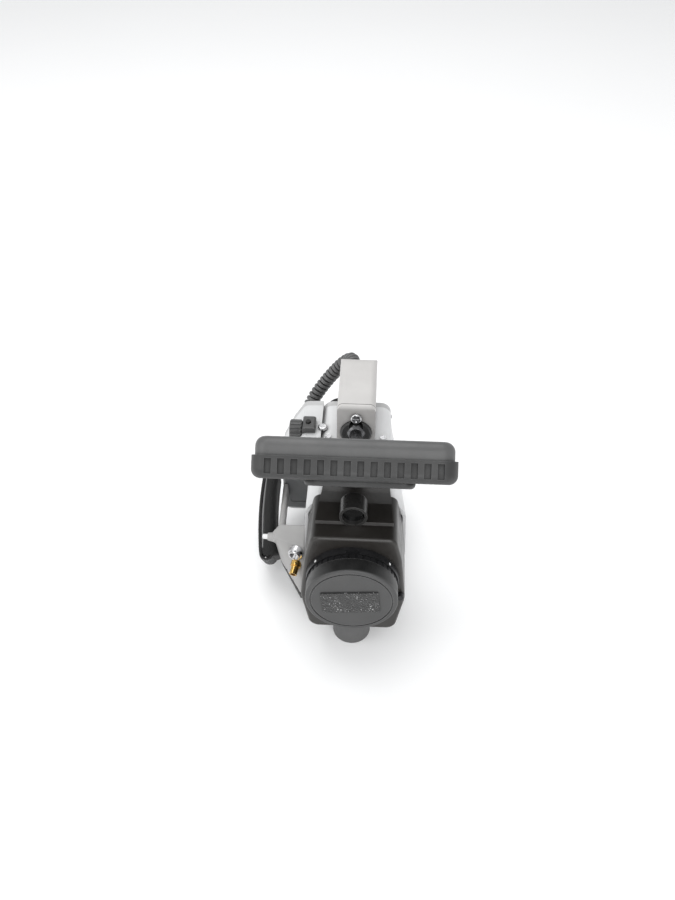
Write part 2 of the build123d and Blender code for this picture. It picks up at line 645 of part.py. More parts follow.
bracket_z = STRAP_LOW_Z + STRAP_CLIMB + STRAP_HEIGHT / 2
bracket = block(-80.5, GRIP_LEFT_X, STRAP_REAR_Y + 0.8, STRAP_REAR_Y + 4.5, bracket_z - 15, bracket_z + 15)
bracket = fillet(bracket.edges().filter_by(Axis.Y).group_by(Axis.X)[0], 5)
grip = max(grip.solids(), key=lambda s: s.volume) + bracket
save("grip_housing", grip)

# ---- Rear cover, connectors and viewfinder -------------------------------------------------
FINDER_X = -17.0
FINDER_Z = 95.0
FINDER_RADIUS = 11.5
FINDER_HINGE_Y = COVER_REAR_Y + 4.0
SOCKET_X = -50.0
SOCKET_Z = 80.0
rear_cover = body_solid(0, BODY_REAR_Y, COVER_REAR_Y)
rear_cover += prism_y(grip_outline, BODY_REAR_Y, COVER_REAR_Y, grip_radii)
rear_cover = rear_cover.clean()
rear_cover -= block(bay_left - 2, bay_right + 2, BODY_REAR_Y - 1, COVER_REAR_Y + 1, 0, BODY_BOTTOM_Z)
rear_cover -= rod_y(FINDER_X, FINDER_Z, FINDER_RADIUS + 0.8, BODY_REAR_Y - 1, COVER_REAR_Y + 1)
rear_cover -= rod_y(SOCKET_X, SOCKET_Z, 7.0, BODY_REAR_Y - 1, COVER_REAR_Y + 1)
lug_inner = FINDER_RADIUS + 0.8
lug_thick = 3.4
PIVOT_RADIUS = 1.6
for side in (-1, 1):
    x_near = FINDER_X + side * lug_inner
    x_far = FINDER_X + side * (lug_inner + lug_thick)
    cheek = block(x_near, x_far, COVER_REAR_Y, FINDER_HINGE_Y + 4, FINDER_Z - 5, FINDER_Z + 5)
    rear_cover += cheek
    pivot_from = FINDER_X + side * (FINDER_RADIUS - 1.6)
    pivot_to = FINDER_X + side * (lug_inner + lug_thick)
    rear_cover += rod_x(
        FINDER_HINGE_Y, FINDER_Z, PIVOT_RADIUS, min(pivot_from, pivot_to), max(pivot_from, pivot_to),
    )
save("rear_cover", rear_cover)

FINDER_LENGTH = 20.0
finder_end_y = FINDER_HINGE_Y + FINDER_LENGTH
finder = rod_y(FINDER_X, FINDER_Z, FINDER_RADIUS, FINDER_HINGE_Y, finder_end_y)
finder += Pos(FINDER_X, FINDER_HINGE_Y, FINDER_Z) * Sphere(FINDER_RADIUS)
finder -= rod_y(FINDER_X, FINDER_Z, 8.6, FINDER_HINGE_Y - 2, finder_end_y + 1)
finder -= tube_y(FINDER_X, FINDER_Z, 13, 10.2, finder_end_y - 8.2, finder_end_y - 2.8)
for side in (-1, 1):
    hole_from = FINDER_X + side * (FINDER_RADIUS - 1.7)
    hole_to = FINDER_X + side * (FINDER_RADIUS + 2)
    finder -= rod_x(
        FINDER_HINGE_Y, FINDER_Z, PIVOT_RADIUS + RUNNING_FIT,
        min(hole_from, hole_to), max(hole_from, hole_to)
    )
save("viewfinder_tube", finder)
dioptre = tube_y(FINDER_X, FINDER_Z, 12.2, 10.2 + RUNNING_FIT, finder_end_y - 8, finder_end_y - 3)
for rib in range(24):
    angle = math.radians(15 * rib)
    dioptre -= rod_y(
        FINDER_X + 12.6 * math.cos(angle), FINDER_Z + 12.6 * math.sin(angle),
        0.9, finder_end_y - 9, finder_end_y
    )
save("dioptre_ring", dioptre)
save("eyepiece_lens", rod_y(FINDER_X, FINDER_Z, 8.55, finder_end_y - 5, finder_end_y - 2))
eyecup = cone_y(FINDER_X, FINDER_Z, FINDER_RADIUS, 13.5, finder_end_y, finder_end_y + 7)
eyecup -= cone_y(FINDER_X, FINDER_Z, 8.6, 12.0, finder_end_y - 0.01, finder_end_y + 7.01)
save("eyecup", eyecup)

cord_socket = tube_y(SOCKET_X, SOCKET_Z, 9.0, 4.2, COVER_REAR_Y, COVER_REAR_Y + 2.5)
cord_socket += tube_y(SOCKET_X, SOCKET_Z, 6.9, 4.2, BODY_REAR_Y - 2, COVER_REAR_Y)
save("cord_socket", cord_socket)
PLUG_LENGTH = 9.0
plug_front_y = COVER_REAR_Y + 2.5
plug_end_y = plug_front_y + PLUG_LENGTH
cord_plug = rod_y(SOCKET_X, SOCKET_Z, 7.2, plug_front_y, plug_end_y)
cord_plug += rod_y(SOCKET_X, SOCKET_Z, 4.0, BODY_REAR_Y, plug_front_y)
save("cord_plug", cord_plug)

# ---- Side flap on the operator's left ------------------------------------------------------
FLAP_FRONT_Y = 98.0
FLAP_LENGTH = 28.0
FLAP_BOTTOM_Z = 42.0
FLAP_HEIGHT = 25.0
FLAP_THICK = 3.0
flap_out_x = BODY_RIGHT_X - 3.4
flap_in_x = flap_out_x - FLAP_THICK
flap_hole = block(
    flap_in_x - 4.2, far, FLAP_FRONT_Y, FLAP_FRONT_Y + FLAP_LENGTH,
    FLAP_BOTTOM_Z, FLAP_BOTTOM_Z + FLAP_HEIGHT
)
FLAP_FRAME = 3.0
right_side += block(
    flap_in_x - 3,
    flap_out_x,
    FLAP_FRONT_Y - FLAP_FRAME,
    FLAP_FRONT_Y + FLAP_LENGTH + FLAP_FRAME,
    FLAP_BOTTOM_Z - FLAP_FRAME,
    FLAP_BOTTOM_Z + FLAP_HEIGHT + FLAP_FRAME,
)
right_side -= flap_hole
FLAP_GAP = 0.4
flap_hinge_x = flap_out_x - FLAP_THICK / 2
flap_hinge_y = FLAP_FRONT_Y + FLAP_GAP + FLAP_THICK / 2
flap = block(
    flap_in_x,
    flap_out_x,
    flap_hinge_y,
    FLAP_FRONT_Y + FLAP_LENGTH - FLAP_GAP,
    FLAP_BOTTOM_Z + FLAP_GAP,
    FLAP_BOTTOM_Z + FLAP_HEIGHT - FLAP_GAP,
)
flap += rod_z(
    flap_hinge_x, flap_hinge_y, FLAP_THICK / 2,
    FLAP_BOTTOM_Z + FLAP_GAP, FLAP_BOTTOM_Z + FLAP_HEIGHT - FLAP_GAP
)
flap -= rod_z(
    flap_hinge_x, flap_hinge_y, 0.7 + RUNNING_FIT, FLAP_BOTTOM_Z - 1, FLAP_BOTTOM_Z + FLAP_HEIGHT + 1,
)
flap_pin = rod_z(flap_hinge_x, flap_hinge_y, 0.7, FLAP_BOTTOM_Z - 2, FLAP_BOTTOM_Z + FLAP_HEIGHT + 2)
right_side += flap_pin
save("side_flap", flap)
panel_x = 26.5
port_panel = block(
    panel_x - 1.6, panel_x, FLAP_FRONT_Y - 3, FLAP_FRONT_Y + FLAP_LENGTH + 3, FLAP_BOTTOM_Z - 3,
    FLAP_BOTTOM_Z + FLAP_HEIGHT + 3,
)
for port in range(2):
    y = FLAP_FRONT_Y + 8 + port * 12
    port_panel -= block(panel_x - 3, panel_x + 1, y - 4, y + 4, FLAP_BOTTOM_Z + 8, FLAP_BOTTOM_Z + 16)

# ---- Body shells ---------------------------------------------------------------------------
top_cover -= tube_clear
save("top_cover", max(top_cover.solids(), key=lambda s: s.volume))
save("left_side_shell", left_side)
save("right_side_shell", right_side)

# ---- Inside the body -----------------------------------------------------------------------
DETECTOR_FRONT_Y = BARREL_REAR_Y + 6.0
detector = block(LENS_X - 22, LENS_X + 22, DETECTOR_FRONT_Y, DETECTOR_FRONT_Y + 26, LENS_Z - 22, LENS_Z + 20)
detector = fillet(detector.edges().filter_by(Axis.Y), 4)
detector -= rod_y(LENS_X, LENS_Z, 9, DETECTOR_FRONT_Y - 1, DETECTOR_FRONT_Y + 6)
save(
    "infrared_detector",
    block(LENS_X - 6, LENS_X + 6, DETECTOR_FRONT_Y + 4.6, DETECTOR_FRONT_Y + 6, LENS_Z - 5, LENS_Z + 5),
)
shutter_y = BARREL_REAR_Y + 3.4
SHUTTER_PIVOT_X = LENS_X + 19.0
SHUTTER_PIVOT_Z = LENS_Z + 15.0
shutter = block(LENS_X - 11, SHUTTER_PIVOT_X, shutter_y, shutter_y + 0.8, LENS_Z - 10, LENS_Z + 10)
shutter += block(
    SHUTTER_PIVOT_X - 5, SHUTTER_PIVOT_X + 3, shutter_y, shutter_y + 0.8, LENS_Z + 9, SHUTTER_PIVOT_Z + 3,
)
shutter -= rod_y(SHUTTER_PIVOT_X, SHUTTER_PIVOT_Z, 1.0 + RUNNING_FIT, shutter_y - 1, shutter_y + 2)
save("shutter_flag", shutter)
detector += rod_y(SHUTTER_PIVOT_X, SHUTTER_PIVOT_Z, 1.0, shutter_y - 1, DETECTOR_FRONT_Y + 1)
save("detector_housing", detector)
BOARD_THICK = 1.6
main_board = block(19, 19 + BOARD_THICK, 60, BODY_REAR_Y - 4, 34, 106)
for y, z, size in ((69, 84, 14), (88, 60, 20), (112, 88, 12), (118, 50, 16), (66, 50, 10)):
    main_board += block(16.6, 19, y - size / 2, y + size / 2, z - size / 2, z + size / 2)
power_board = block(-28 - BOARD_THICK, -28, 62, BODY_REAR_Y - 6, 34, 92)
for y, z, size in ((76, 70, 12), (98, 56, 18), (122, 76, 10)):
    power_board += block(-28, -22, y - size / 2, y + size / 2, z - size / 2, z + size / 2)
save("circuit_boards", main_board, power_board)
chassis = block(-28 - BOARD_THICK, panel_x - 1.6, DETECTOR_FRONT_Y, BODY_REAR_Y - 4, 31, 34)
chassis += block(LENS_X - 20, LENS_X + 20, DETECTOR_FRONT_Y + 4, DETECTOR_FRONT_Y + 22, 34, LENS_Z - 22)
for x in (-18, 18):
    chassis += block(x - 4, x + 4, 70, 130, BASE_SPLIT_Z, 31)
chassis += block(panel_x - 1.6, panel_x, FLAP_FRONT_Y, FLAP_FRONT_Y + FLAP_LENGTH, 31, FLAP_BOTTOM_Z)
chassis += port_panel
save("chassis", chassis)

# ---- Top handle ----------------------------------------------------------------------------
handle_left = HANDLE_X - HANDLE_WIDTH / 2
handle_right = HANDLE_X + HANDLE_WIDTH / 2
HANDLE_BOTTOM_Z = BODY_TOP_Z + DOCK_THICK
dock = block(
    handle_left + 2, handle_right - 2, HANDLE_FRONT_Y + 3, HANDLE_REAR_Y - 3, BODY_TOP_Z, HANDLE_BOTTOM_Z,
)
dock -= rod_y(HANDLE_X, BALL_Z, 13.2, 80, 120)
dock = dock & block(-far, far, -far, BODY_REAR_Y, -far, far)


def handle_solid(inset):
    """The handle's outside, inset by a wall."""
    low = HANDLE_BOTTOM_Z + inset
    high = HANDLE_TOP_Z - inset
    outline = [
        (handle_left + inset, low),
        (handle_right - inset, low),
        (handle_right - inset, high),
        (handle_left + inset, high),
    ]
    profile = [
        (HANDLE_FRONT_Y + inset, low),
        (HANDLE_REAR_Y - inset, low),
        (HANDLE_REAR_Y - inset, high),
        (HANDLE_FRONT_Y + inset, high),
    ]
    across = prism_y(outline, HANDLE_FRONT_Y - 1, HANDLE_REAR_Y + 1, [0, 0, 5 - inset, 5 - inset])
    along = prism_x(profile, handle_left - 1, handle_right + 1, [0, 6 - inset, 10 - inset, 3.5 - inset])
    return across & along


handle_wall = handle_solid(0) - handle_solid(HANDLE_WALL)
handle_wall -= rod_y(HANDLE_X, BALL_Z, 12.8, HANDLE_FRONT_Y - 9, HANDLE_FRONT_Y + 9)
front_split = HANDLE_FRONT_Y + FRONT_PLATE_THICK
handle_front = handle_wall & block(-far, far, -far, front_split, -far, far)
handle_rest = handle_wall & block(-far, far, front_split + HANDLE_SEAM, far, -far, far)
HANDLE_SPLIT_Z = HANDLE_BOTTOM_Z + 9.0
handle_top = handle_rest & block(-far, far, -far, far, HANDLE_SPLIT_Z + SEAM, far)
handle_base = handle_wall & block(-far, far, front_split, far, -far, HANDLE_SPLIT_Z)
SCREW_Z = 158.4
handle_front -= rod_y(HANDLE_X, SCREW_Z, 2.0, HANDLE_FRONT_Y - 1, HANDLE_FRONT_Y + 5)
screw = rod_y(HANDLE_X, SCREW_Z, 4.6, HANDLE_FRONT_Y - 2.4, HANDLE_FRONT_Y)
screw = fillet(screw.edges().sort_by(Axis.Y)[0], 1.4)
screw += rod_y(HANDLE_X, SCREW_Z, 2.0, HANDLE_FRONT_Y, HANDLE_FRONT_Y + 5)
screw -= block(
    HANDLE_X - 3, HANDLE_X + 3, HANDLE_FRONT_Y - 3, HANDLE_FRONT_Y - 1.4, SCREW_Z - 0.5, SCREW_Z + 0.5,
)
screw -= block(
    HANDLE_X - 0.5, HANDLE_X + 0.5, HANDLE_FRONT_Y - 3, HANDLE_FRONT_Y - 1.4, SCREW_Z - 3, SCREW_Z + 3,
)

STICK_X = HANDLE_X + 8.0
STICK_Z = 158.0
STICK_RADIUS = 3.4
KEY_Z = 146.2
KEY_X = (HANDLE_X + 4.2, HANDLE_X + 10.0)
KEY_RADIUS = 2.4
CORD_X = HANDLE_X - 5.0
CORD_Z = 151.0
handle_top -= rod_y(STICK_X, STICK_Z, 3.0, HANDLE_REAR_Y - 4, HANDLE_REAR_Y + 4)
for x in KEY_X:
    handle_top -= rod_y(x, KEY_Z, KEY_RADIUS + 0.3, HANDLE_REAR_Y - 4, HANDLE_REAR_Y + 4)
handle_top -= rod_y(CORD_X, CORD_Z, 4.9, HANDLE_REAR_Y - 4, HANDLE_REAR_Y + 1)
save("handle_top_shell", max(handle_top.solids(), key=lambda s: s.volume))
handle_frame = max(handle_base.solids(), key=lambda s: s.volume) + max(dock.solids(), key=lambda s: s.volume)
handle_frame += max(handle_front.solids(), key=lambda s: s.volume)
save("handle_frame", handle_frame)
for place, x in enumerate(KEY_X):
    key = rod_y(x, KEY_Z, KEY_RADIUS, HANDLE_REAR_Y - 6.4, HANDLE_REAR_Y + 1.6)
    save(f"handle_key_{place + 1}", fillet(key.edges().sort_by(Axis.Y)[-1], 0.8))
stick = rod_y(STICK_X, STICK_Z, 1.7, HANDLE_REAR_Y - 5.0, HANDLE_REAR_Y + 1.5)
stick += rod_y(STICK_X, STICK_Z, STICK_RADIUS, HANDLE_REAR_Y + 1.4, HANDLE_REAR_Y + 4.0)
save("joystick", fillet(stick.edges().sort_by(Axis.Y)[-1], 0.8))

screws = [screw]
for x in (-24.6, 20.8):
    screws.append(rod_z(x, 97, 2.4, BODY_TOP_Z, BODY_TOP_Z + 1.3))
pan = rod_z(-29.8, 108.0, 4.0, BODY_TOP_Z, BODY_TOP_Z + 2.2)
screws.append(fillet(pan.edges().sort_by(Axis.Z)[-1], 1.4))
for x, z in ((-61, 30), (-61, 84), (-33, 36), (30, 36), (26, 114), (-33, 119)):
    screws.append(rod_y(x, z, 2.6, COVER_REAR_Y, COVER_REAR_Y + 1.2))
save("case_screws", *screws)

# ---- Ball joint and display ----------------------------------------------------------------
BALL_Y = HANDLE_FRONT_Y + BALL_SINK
reach = Vector(HANDLE_X, DISPLAY_EDGE_Y, DISPLAY_EDGE_Z) - Vector(HANDLE_X, BALL_Y, BALL_Z)
arm_length = reach.length
REST_PITCH = math.degrees(math.atan2(reach.Z, -reach.Y))
MOUTH_RANGE = 45.0


def arm_plane(pitch=0.0, along=0.0):
    """The arm's cross-section plane, tilted up about the ball and moved along the arm."""
    angle = math.radians(REST_PITCH + pitch)
    way = Vector(0, -math.cos(angle), math.sin(angle))
    return Plane(origin=Vector(HANDLE_X, BALL_Y, BALL_Z) + way * along, x_dir=(1, 0, 0), z_dir=way)


socket = rod_y(HANDLE_X, BALL_Z, 12.6, BALL_Y - 5.2, BALL_Y + 6)
socket = chamfer(socket.edges().sort_by(Axis.Y)[0], 1.2)
socket -= Pos(HANDLE_X, BALL_Y, BALL_Z) * Sphere(BALL_RADIUS + RUNNING_FIT)
for step in range(8):
    socket -= extrude(arm_plane(MOUTH_RANGE * step / 7) * Circle(STEM_RADIUS + 0.6), 40)
socket -= block(-far, far, -far, far, -far, BODY_TOP_Z + 0.2)
save("ball_socket", max(socket.solids(), key=lambda s: s.volume))

NECK_RADIUS = 9.0
neck_from = arm_length * 0.62
pin_to = arm_length - 3.0
arm = Pos(HANDLE_X, BALL_Y, BALL_Z) * Sphere(BALL_RADIUS)
arm += extrude(arm_plane() * Circle(STEM_RADIUS), neck_from - 0.4)
arm += extrude(arm_plane(0, neck_from - 1) * Circle(STEM_PIN_RADIUS), pin_to - neck_from + 1)
save("display_arm", arm)

facing = math.radians(DISPLAY_TILT)
screen = Plane(
    origin=(DISPLAY_X, DISPLAY_EDGE_Y, DISPLAY_EDGE_Z),
    x_dir=(1, 0, 0),
    z_dir=(0, math.sin(facing), math.cos(facing)),
)


def panel_slab(width, top, bottom, z_from, z_to, radius):
    """A rounded slab in the display's own frame, between two heights up the screen."""
    sketch = Pos(0, -(top + bottom) / 2, z_from) * RectangleRounded(width, top - bottom, radius)
    return extrude(sketch, z_to - z_from)


def on_screen(shape):
    """Moves a shape from the display's own frame to its place."""
    return screen.location * shape


BUMPER_WALL = 9.0
bumper = panel_slab(DISPLAY_WIDTH, DISPLAY_HEIGHT, 0, -BUMPER_THICK, 0, 13)
bumper = fillet(bumper.faces().sort_by(Axis.Z)[0].edges(), 6.5)
bumper -= panel_slab(
    DISPLAY_WIDTH - 2 * BUMPER_WALL, DISPLAY_HEIGHT - BUMPER_WALL, BUMPER_WALL, -BUMPER_THICK - 1, 1, 6
)
GROOVE_WIDTH = 4.8
GROOVE_DEPTH = 1.8
for groove in range(GROOVES):
    x = (groove - (GROOVES - 1) / 2) * GROOVE_PITCH
    for edge_y in (-DISPLAY_HEIGHT, 0):
        bumper -= block(
            x - GROOVE_WIDTH / 2, x + GROOVE_WIDTH / 2, edge_y - GROOVE_DEPTH, edge_y + GROOVE_DEPTH,
            -BUMPER_THICK + 3.4, -2.2,
        )
SIDE_GROOVES = 6
for groove in range(SIDE_GROOVES):
    y = -DISPLAY_HEIGHT / 2 + (groove - (SIDE_GROOVES - 1) / 2) * GROOVE_PITCH
    for edge_x in (-DISPLAY_WIDTH / 2, DISPLAY_WIDTH / 2):
        bumper -= block(
            edge_x - GROOVE_DEPTH, edge_x + GROOVE_DEPTH, y - GROOVE_WIDTH / 2, y + GROOVE_WIDTH / 2,
            -BUMPER_THICK + 3.4, -2.2,
        )
BACK_SCREW_X = 31.5
for side in (-1, 1):
    bumper -= Pos(side * BACK_SCREW_X, -DISPLAY_HEIGHT, -BUMPER_THICK) * Sphere(2.6)

back_cover = panel_slab(
    DISPLAY_WIDTH - 2 * BUMPER_WALL - 0.1, DISPLAY_HEIGHT - BUMPER_WALL - 0.05,
    BUMPER_WALL + 0.05, -BUMPER_THICK + 0.2,
    -BUMPER_THICK + 3.2, 6,
)
bulge = Pos(BULGE_SHIFT, 0, 0) * panel_slab(
    BULGE_WIDTH, DISPLAY_HEIGHT - BUMPER_WALL, 26, -BUMPER_THICK - BULGE_THICK, -BUMPER_THICK + 1, 9,
)
bulge = fillet(bulge.faces().sort_by(Axis.Z)[0].edges(), 3.4)
back_cover += bulge
for x, height in ((-58, 15), (58, 15), (-58, 67), (58, 67)):
    back_cover -= Pos(x, -height, -BUMPER_THICK) * Cylinder(2.9, 3)

frame_width = DISPLAY_WIDTH - 2 * FRAME_MARGIN
frame_top = DISPLAY_HEIGHT - FRAME_MARGIN
frame_bottom = FRAME_MARGIN
frame_outer = panel_slab(frame_width, frame_top, frame_bottom, 0, FRAME_THICK, 10)
frame_outer = fillet(frame_outer.faces().sort_by(Axis.Z)[-1].edges(), 7.0)
window_low = DISPLAY_HEIGHT / 2 - SCREEN_HEIGHT / 2 + 1
window_high = window_low + SCREEN_HEIGHT
POCKET_MARGIN = 4.0
frame = frame_outer - panel_slab(
    SCREEN_WIDTH + 2 * POCKET_MARGIN, window_high + 2, window_low - 2, -1, FRAME_THICK - 2.6, 3
)
frame -= panel_slab(SCREEN_WIDTH, window_high, window_low, 0, FRAME_THICK + 1, 2)
save("display_frame", on_screen(frame))
bumper_placed = on_screen(bumper)
back_placed = on_screen(back_cover)
save("display_bumper", bumper_placed)
save("display_back_cover", back_placed)
glass = panel_slab(
    SCREEN_WIDTH - 0.2, window_high - 0.1, window_low + 0.1, FRAME_THICK - 2.6, FRAME_THICK - 1.0, 2,
)
save("display_glass", on_screen(glass))
lcd = panel_slab(
    SCREEN_WIDTH + 4, window_high + 1.5, window_low - 1.5, FRAME_THICK - 8, FRAME_THICK - 2.7, 1,
)
display_board = lcd + panel_slab(SCREEN_WIDTH, window_high, window_low, 1.0, 2.6, 1)
for x, height, size in ((-24, 36, 14), (10, 44, 18), (34, 34, 10)):
    display_board += block(
        x - size / 2, x + size / 2, -height - size / 2, -height + size / 2, 2.6, FRAME_THICK - 8,
    )
save("display_module", on_screen(display_board))
back_screws = []
for x, height in ((-58, 15), (58, 15), (-58, 67), (58, 67)):
    back_screws.append(on_screen(Pos(x, -height, -BUMPER_THICK + 1.0) * Cylinder(2.5, 1)))
save("display_back_screws", *back_screws)

neck = extrude(arm_plane(0, neck_from) * Circle(NECK_RADIUS), arm_length - neck_from + 6)
neck -= extrude(
    arm_plane(0, neck_from - 1) * Circle(STEM_PIN_RADIUS + RUNNING_FIT), pin_to - neck_from + 1.4,
)
neck -= on_screen(panel_slab(DISPLAY_WIDTH, DISPLAY_HEIGHT, 0, -BUMPER_THICK, 0, 13))
neck -= on_screen(block(-far, far, -far, -FRAME_MARGIN, 0, FRAME_THICK))
neck = max(neck.solids(), key=lambda s: s.volume)
save("display_neck", neck)

# ---- Curly cord ----------------------------------------------------------------------------
boot = cone_y(CORD_X, CORD_Z, 7.4, 5.6, HANDLE_REAR_Y, HANDLE_REAR_Y + BOOT_LENGTH)
boot += rod_y(CORD_X, CORD_Z, 4.9, HANDLE_REAR_Y - HANDLE_WALL - 1, HANDLE_REAR_Y)
save("cord_boot", boot)
CORD_ROUTE = [
    (CORD_X, HANDLE_REAR_Y + BOOT_LENGTH, CORD_Z),
    (CORD_X, 177, CORD_Z),
    (-14, 185, 142),
    (-24.5, 187, 128),
    (-34.5, 186, 113.5),
    (-43.5, 183, 99.5),
    (-49.5, 177, 87),
    (SOCKET_X, 169.5, SOCKET_Z),
    (SOCKET_X, plug_end_y, SOCKET_Z),
]


def cord_tube(route, diameter):
    """A tube along straight runs joined by tangent arcs as large as the runs allow."""
    points = [Vector(*point) for point in route]
    radii = []
    for before, here, after in zip(points, points[1:], points[2:]):
        run_in = here - before
        run_out = after - here
        half_turn = math.radians(run_in.get_angle(run_out)) / 2
        radii.append(0.45 * min(run_in.length, run_out.length) / math.tan(half_turn))
    path = FilletPolyline(*points, radius=radii)
    start = Plane(origin=path @ 0, z_dir=path % 0)
    tube = sweep(start * Circle(diameter / 2), path=path)
    print("cord radii", [round(radius, 1) for radius in radii])
    print("cord length", round(path.length, 1), "volume ratio", round(
        tube.volume / (path.length * math.pi * diameter**2 / 4), 4))
    return tube


save("curly_cord", cord_tube(CORD_ROUTE, CORD_DIAMETER))
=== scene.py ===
import math

import bmesh
import bpy
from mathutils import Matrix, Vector, noise


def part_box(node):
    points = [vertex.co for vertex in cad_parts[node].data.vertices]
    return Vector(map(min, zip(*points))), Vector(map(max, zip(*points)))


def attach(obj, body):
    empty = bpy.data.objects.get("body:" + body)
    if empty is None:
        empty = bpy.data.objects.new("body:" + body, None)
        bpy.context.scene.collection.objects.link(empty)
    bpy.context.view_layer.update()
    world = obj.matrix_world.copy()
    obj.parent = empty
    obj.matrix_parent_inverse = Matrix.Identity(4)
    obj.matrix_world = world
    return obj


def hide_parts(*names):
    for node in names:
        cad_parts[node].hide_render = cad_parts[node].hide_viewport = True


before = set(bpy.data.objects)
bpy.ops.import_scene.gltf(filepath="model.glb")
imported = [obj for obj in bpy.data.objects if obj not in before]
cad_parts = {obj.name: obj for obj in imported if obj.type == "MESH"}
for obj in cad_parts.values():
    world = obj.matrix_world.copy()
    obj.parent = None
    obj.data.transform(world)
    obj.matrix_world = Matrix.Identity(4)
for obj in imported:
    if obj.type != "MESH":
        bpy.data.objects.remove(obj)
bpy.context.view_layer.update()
bpy.ops.object.select_all(action="DESELECT")

# ---- Camera --------------------------------------------------------------------------------
# The object is seen from above and in front of its lens, from an arm's length away. The view
# looks down on it at about 43 degrees.
view_place = (0.01203, -0.455, 0.6307)
view_way = Vector((-0.0383, 0.7304, -0.6820))
view_lens = 36
view_film = 36
camera_data = bpy.data.cameras.new("camera")
camera_data.lens = view_lens
camera_data.sensor_width = view_film
camera = bpy.data.objects.new("camera", camera_data)
bpy.context.scene.collection.objects.link(camera)
camera.location = view_place
camera.rotation_euler = view_way.to_track_quat("-Z", "Y").to_euler()
bpy.context.scene.camera = camera

# ---- Curly cord ----------------------------------------------------------------------------
# A coiled cord of soft rubber, wound on a rod and baked, that carries picture and power from
# the body's rear socket up to the handle. Both its ends go into moulded boots.
cord_route = [
    (-0.0065, 0.163, 0.151),
    (-0.0065, 0.177, 0.151),
    (-0.014, 0.185, 0.142),
    (-0.0245, 0.187, 0.128),
    (-0.0345, 0.186, 0.1135),
    (-0.0435, 0.183, 0.0995),
    (-0.0495, 0.177, 0.087),
    (-0.050, 0.1695, 0.080),
    (-0.050, 0.1545, 0.080),
]
wire_radius = 0.0020
coil_radius = 0.0046
coil_pitch = 0.0046
points_a_turn = 16
coil_end_share = 0.15
coil_end_length = 0.004


def smooth_curve(name, points, thickness=0.0, resolution=8):
    """A round cord on one smooth line with these control points."""
    data = bpy.data.curves.new(name, "CURVE")
    data.dimensions = "3D"
    data.resolution_u = resolution
    data.bevel_depth = thickness
    data.bevel_resolution = 4
    data.use_fill_caps = thickness > 0
    spline = data.splines.new("NURBS")
    spline.points.add(len(points) - 1)
    for place, point in zip(spline.points, points):
        place.co = (*point, 1)
    spline.order_u = 3
    spline.use_endpoint_u = True
    made = bpy.data.objects.new(name, data)
    bpy.context.scene.collection.objects.link(made)
    return made


def line_points(curve):
    """The points of a bare curve's own line, in order."""
    bpy.context.view_layer.update()
    settled = curve.evaluated_get(bpy.context.evaluated_depsgraph_get())
    mesh = bpy.data.meshes.new_from_object(settled)
    points = [vertex.co.copy() for vertex in mesh.vertices]
    bpy.data.meshes.remove(mesh)
    return points


route_curve = smooth_curve("cord_line", cord_route, resolution=40)
middle_line = line_points(route_curve)
bpy.data.objects.remove(route_curve)
steps = [(b - a).length for a, b in zip(middle_line, middle_line[1:])]
route_length = sum(steps)
turns = round(route_length / coil_pitch)
helix = []
frame_side = Vector((1, 0, 0))
walked = 0.0
place = 0
samples = turns * points_a_turn
for sample in range(samples + 1):
    along = route_length * sample / samples
    while place < len(steps) - 1 and walked + steps[place] < along:
        walked += steps[place]
        place += 1
    share = min(max((along - walked) / steps[place], 0), 1)
    centre = middle_line[place].lerp(middle_line[place + 1], share)
    forward = (middle_line[place + 1] - middle_line[place]).normalized()
    frame_side = (frame_side - forward * frame_side.dot(forward)).normalized()
    across = forward.cross(frame_side)
    to_end = min(along, route_length - along)
    out = coil_radius * min(1.0, coil_end_share + to_end / coil_end_length)
    angle = math.tau * sample / points_a_turn
    helix.append(centre + frame_side * math.cos(angle) * out + across * math.sin(angle) * out)
curly = smooth_curve("cord_coil", helix, wire_radius, resolution=3)
curly.data.bevel_resolution = 3
curly_length = sum((b - a).length for a, b in zip(helix, helix[1:]))


# Shader sums are written as plain expressions: a Signal is a number that varies over a
# surface, and a Finish is one material being built.
class Signal:
    """A varying number in a material."""

    def __init__(self, finish, socket):
        self.finish = finish
        self.socket = socket

    def sum(self, operation, *terms):
        return self.finish.node("ShaderNodeMath", {"operation": operation}, dict(enumerate(terms)))

    def sine(self):
        return self.sum("SINE", self)

    def __add__(self, other):
        return self.sum("ADD", self, other)

    def __sub__(self, other):
        return self.sum("SUBTRACT", self, other)

    def __rsub__(self, other):
        return self.sum("SUBTRACT", other, self)

    def __mul__(self, other):
        return self.sum("MULTIPLY", self, other)

    def __gt__(self, other):
        return self.sum("GREATER_THAN", self, other)

    __radd__ = __add__
    __rmul__ = __mul__


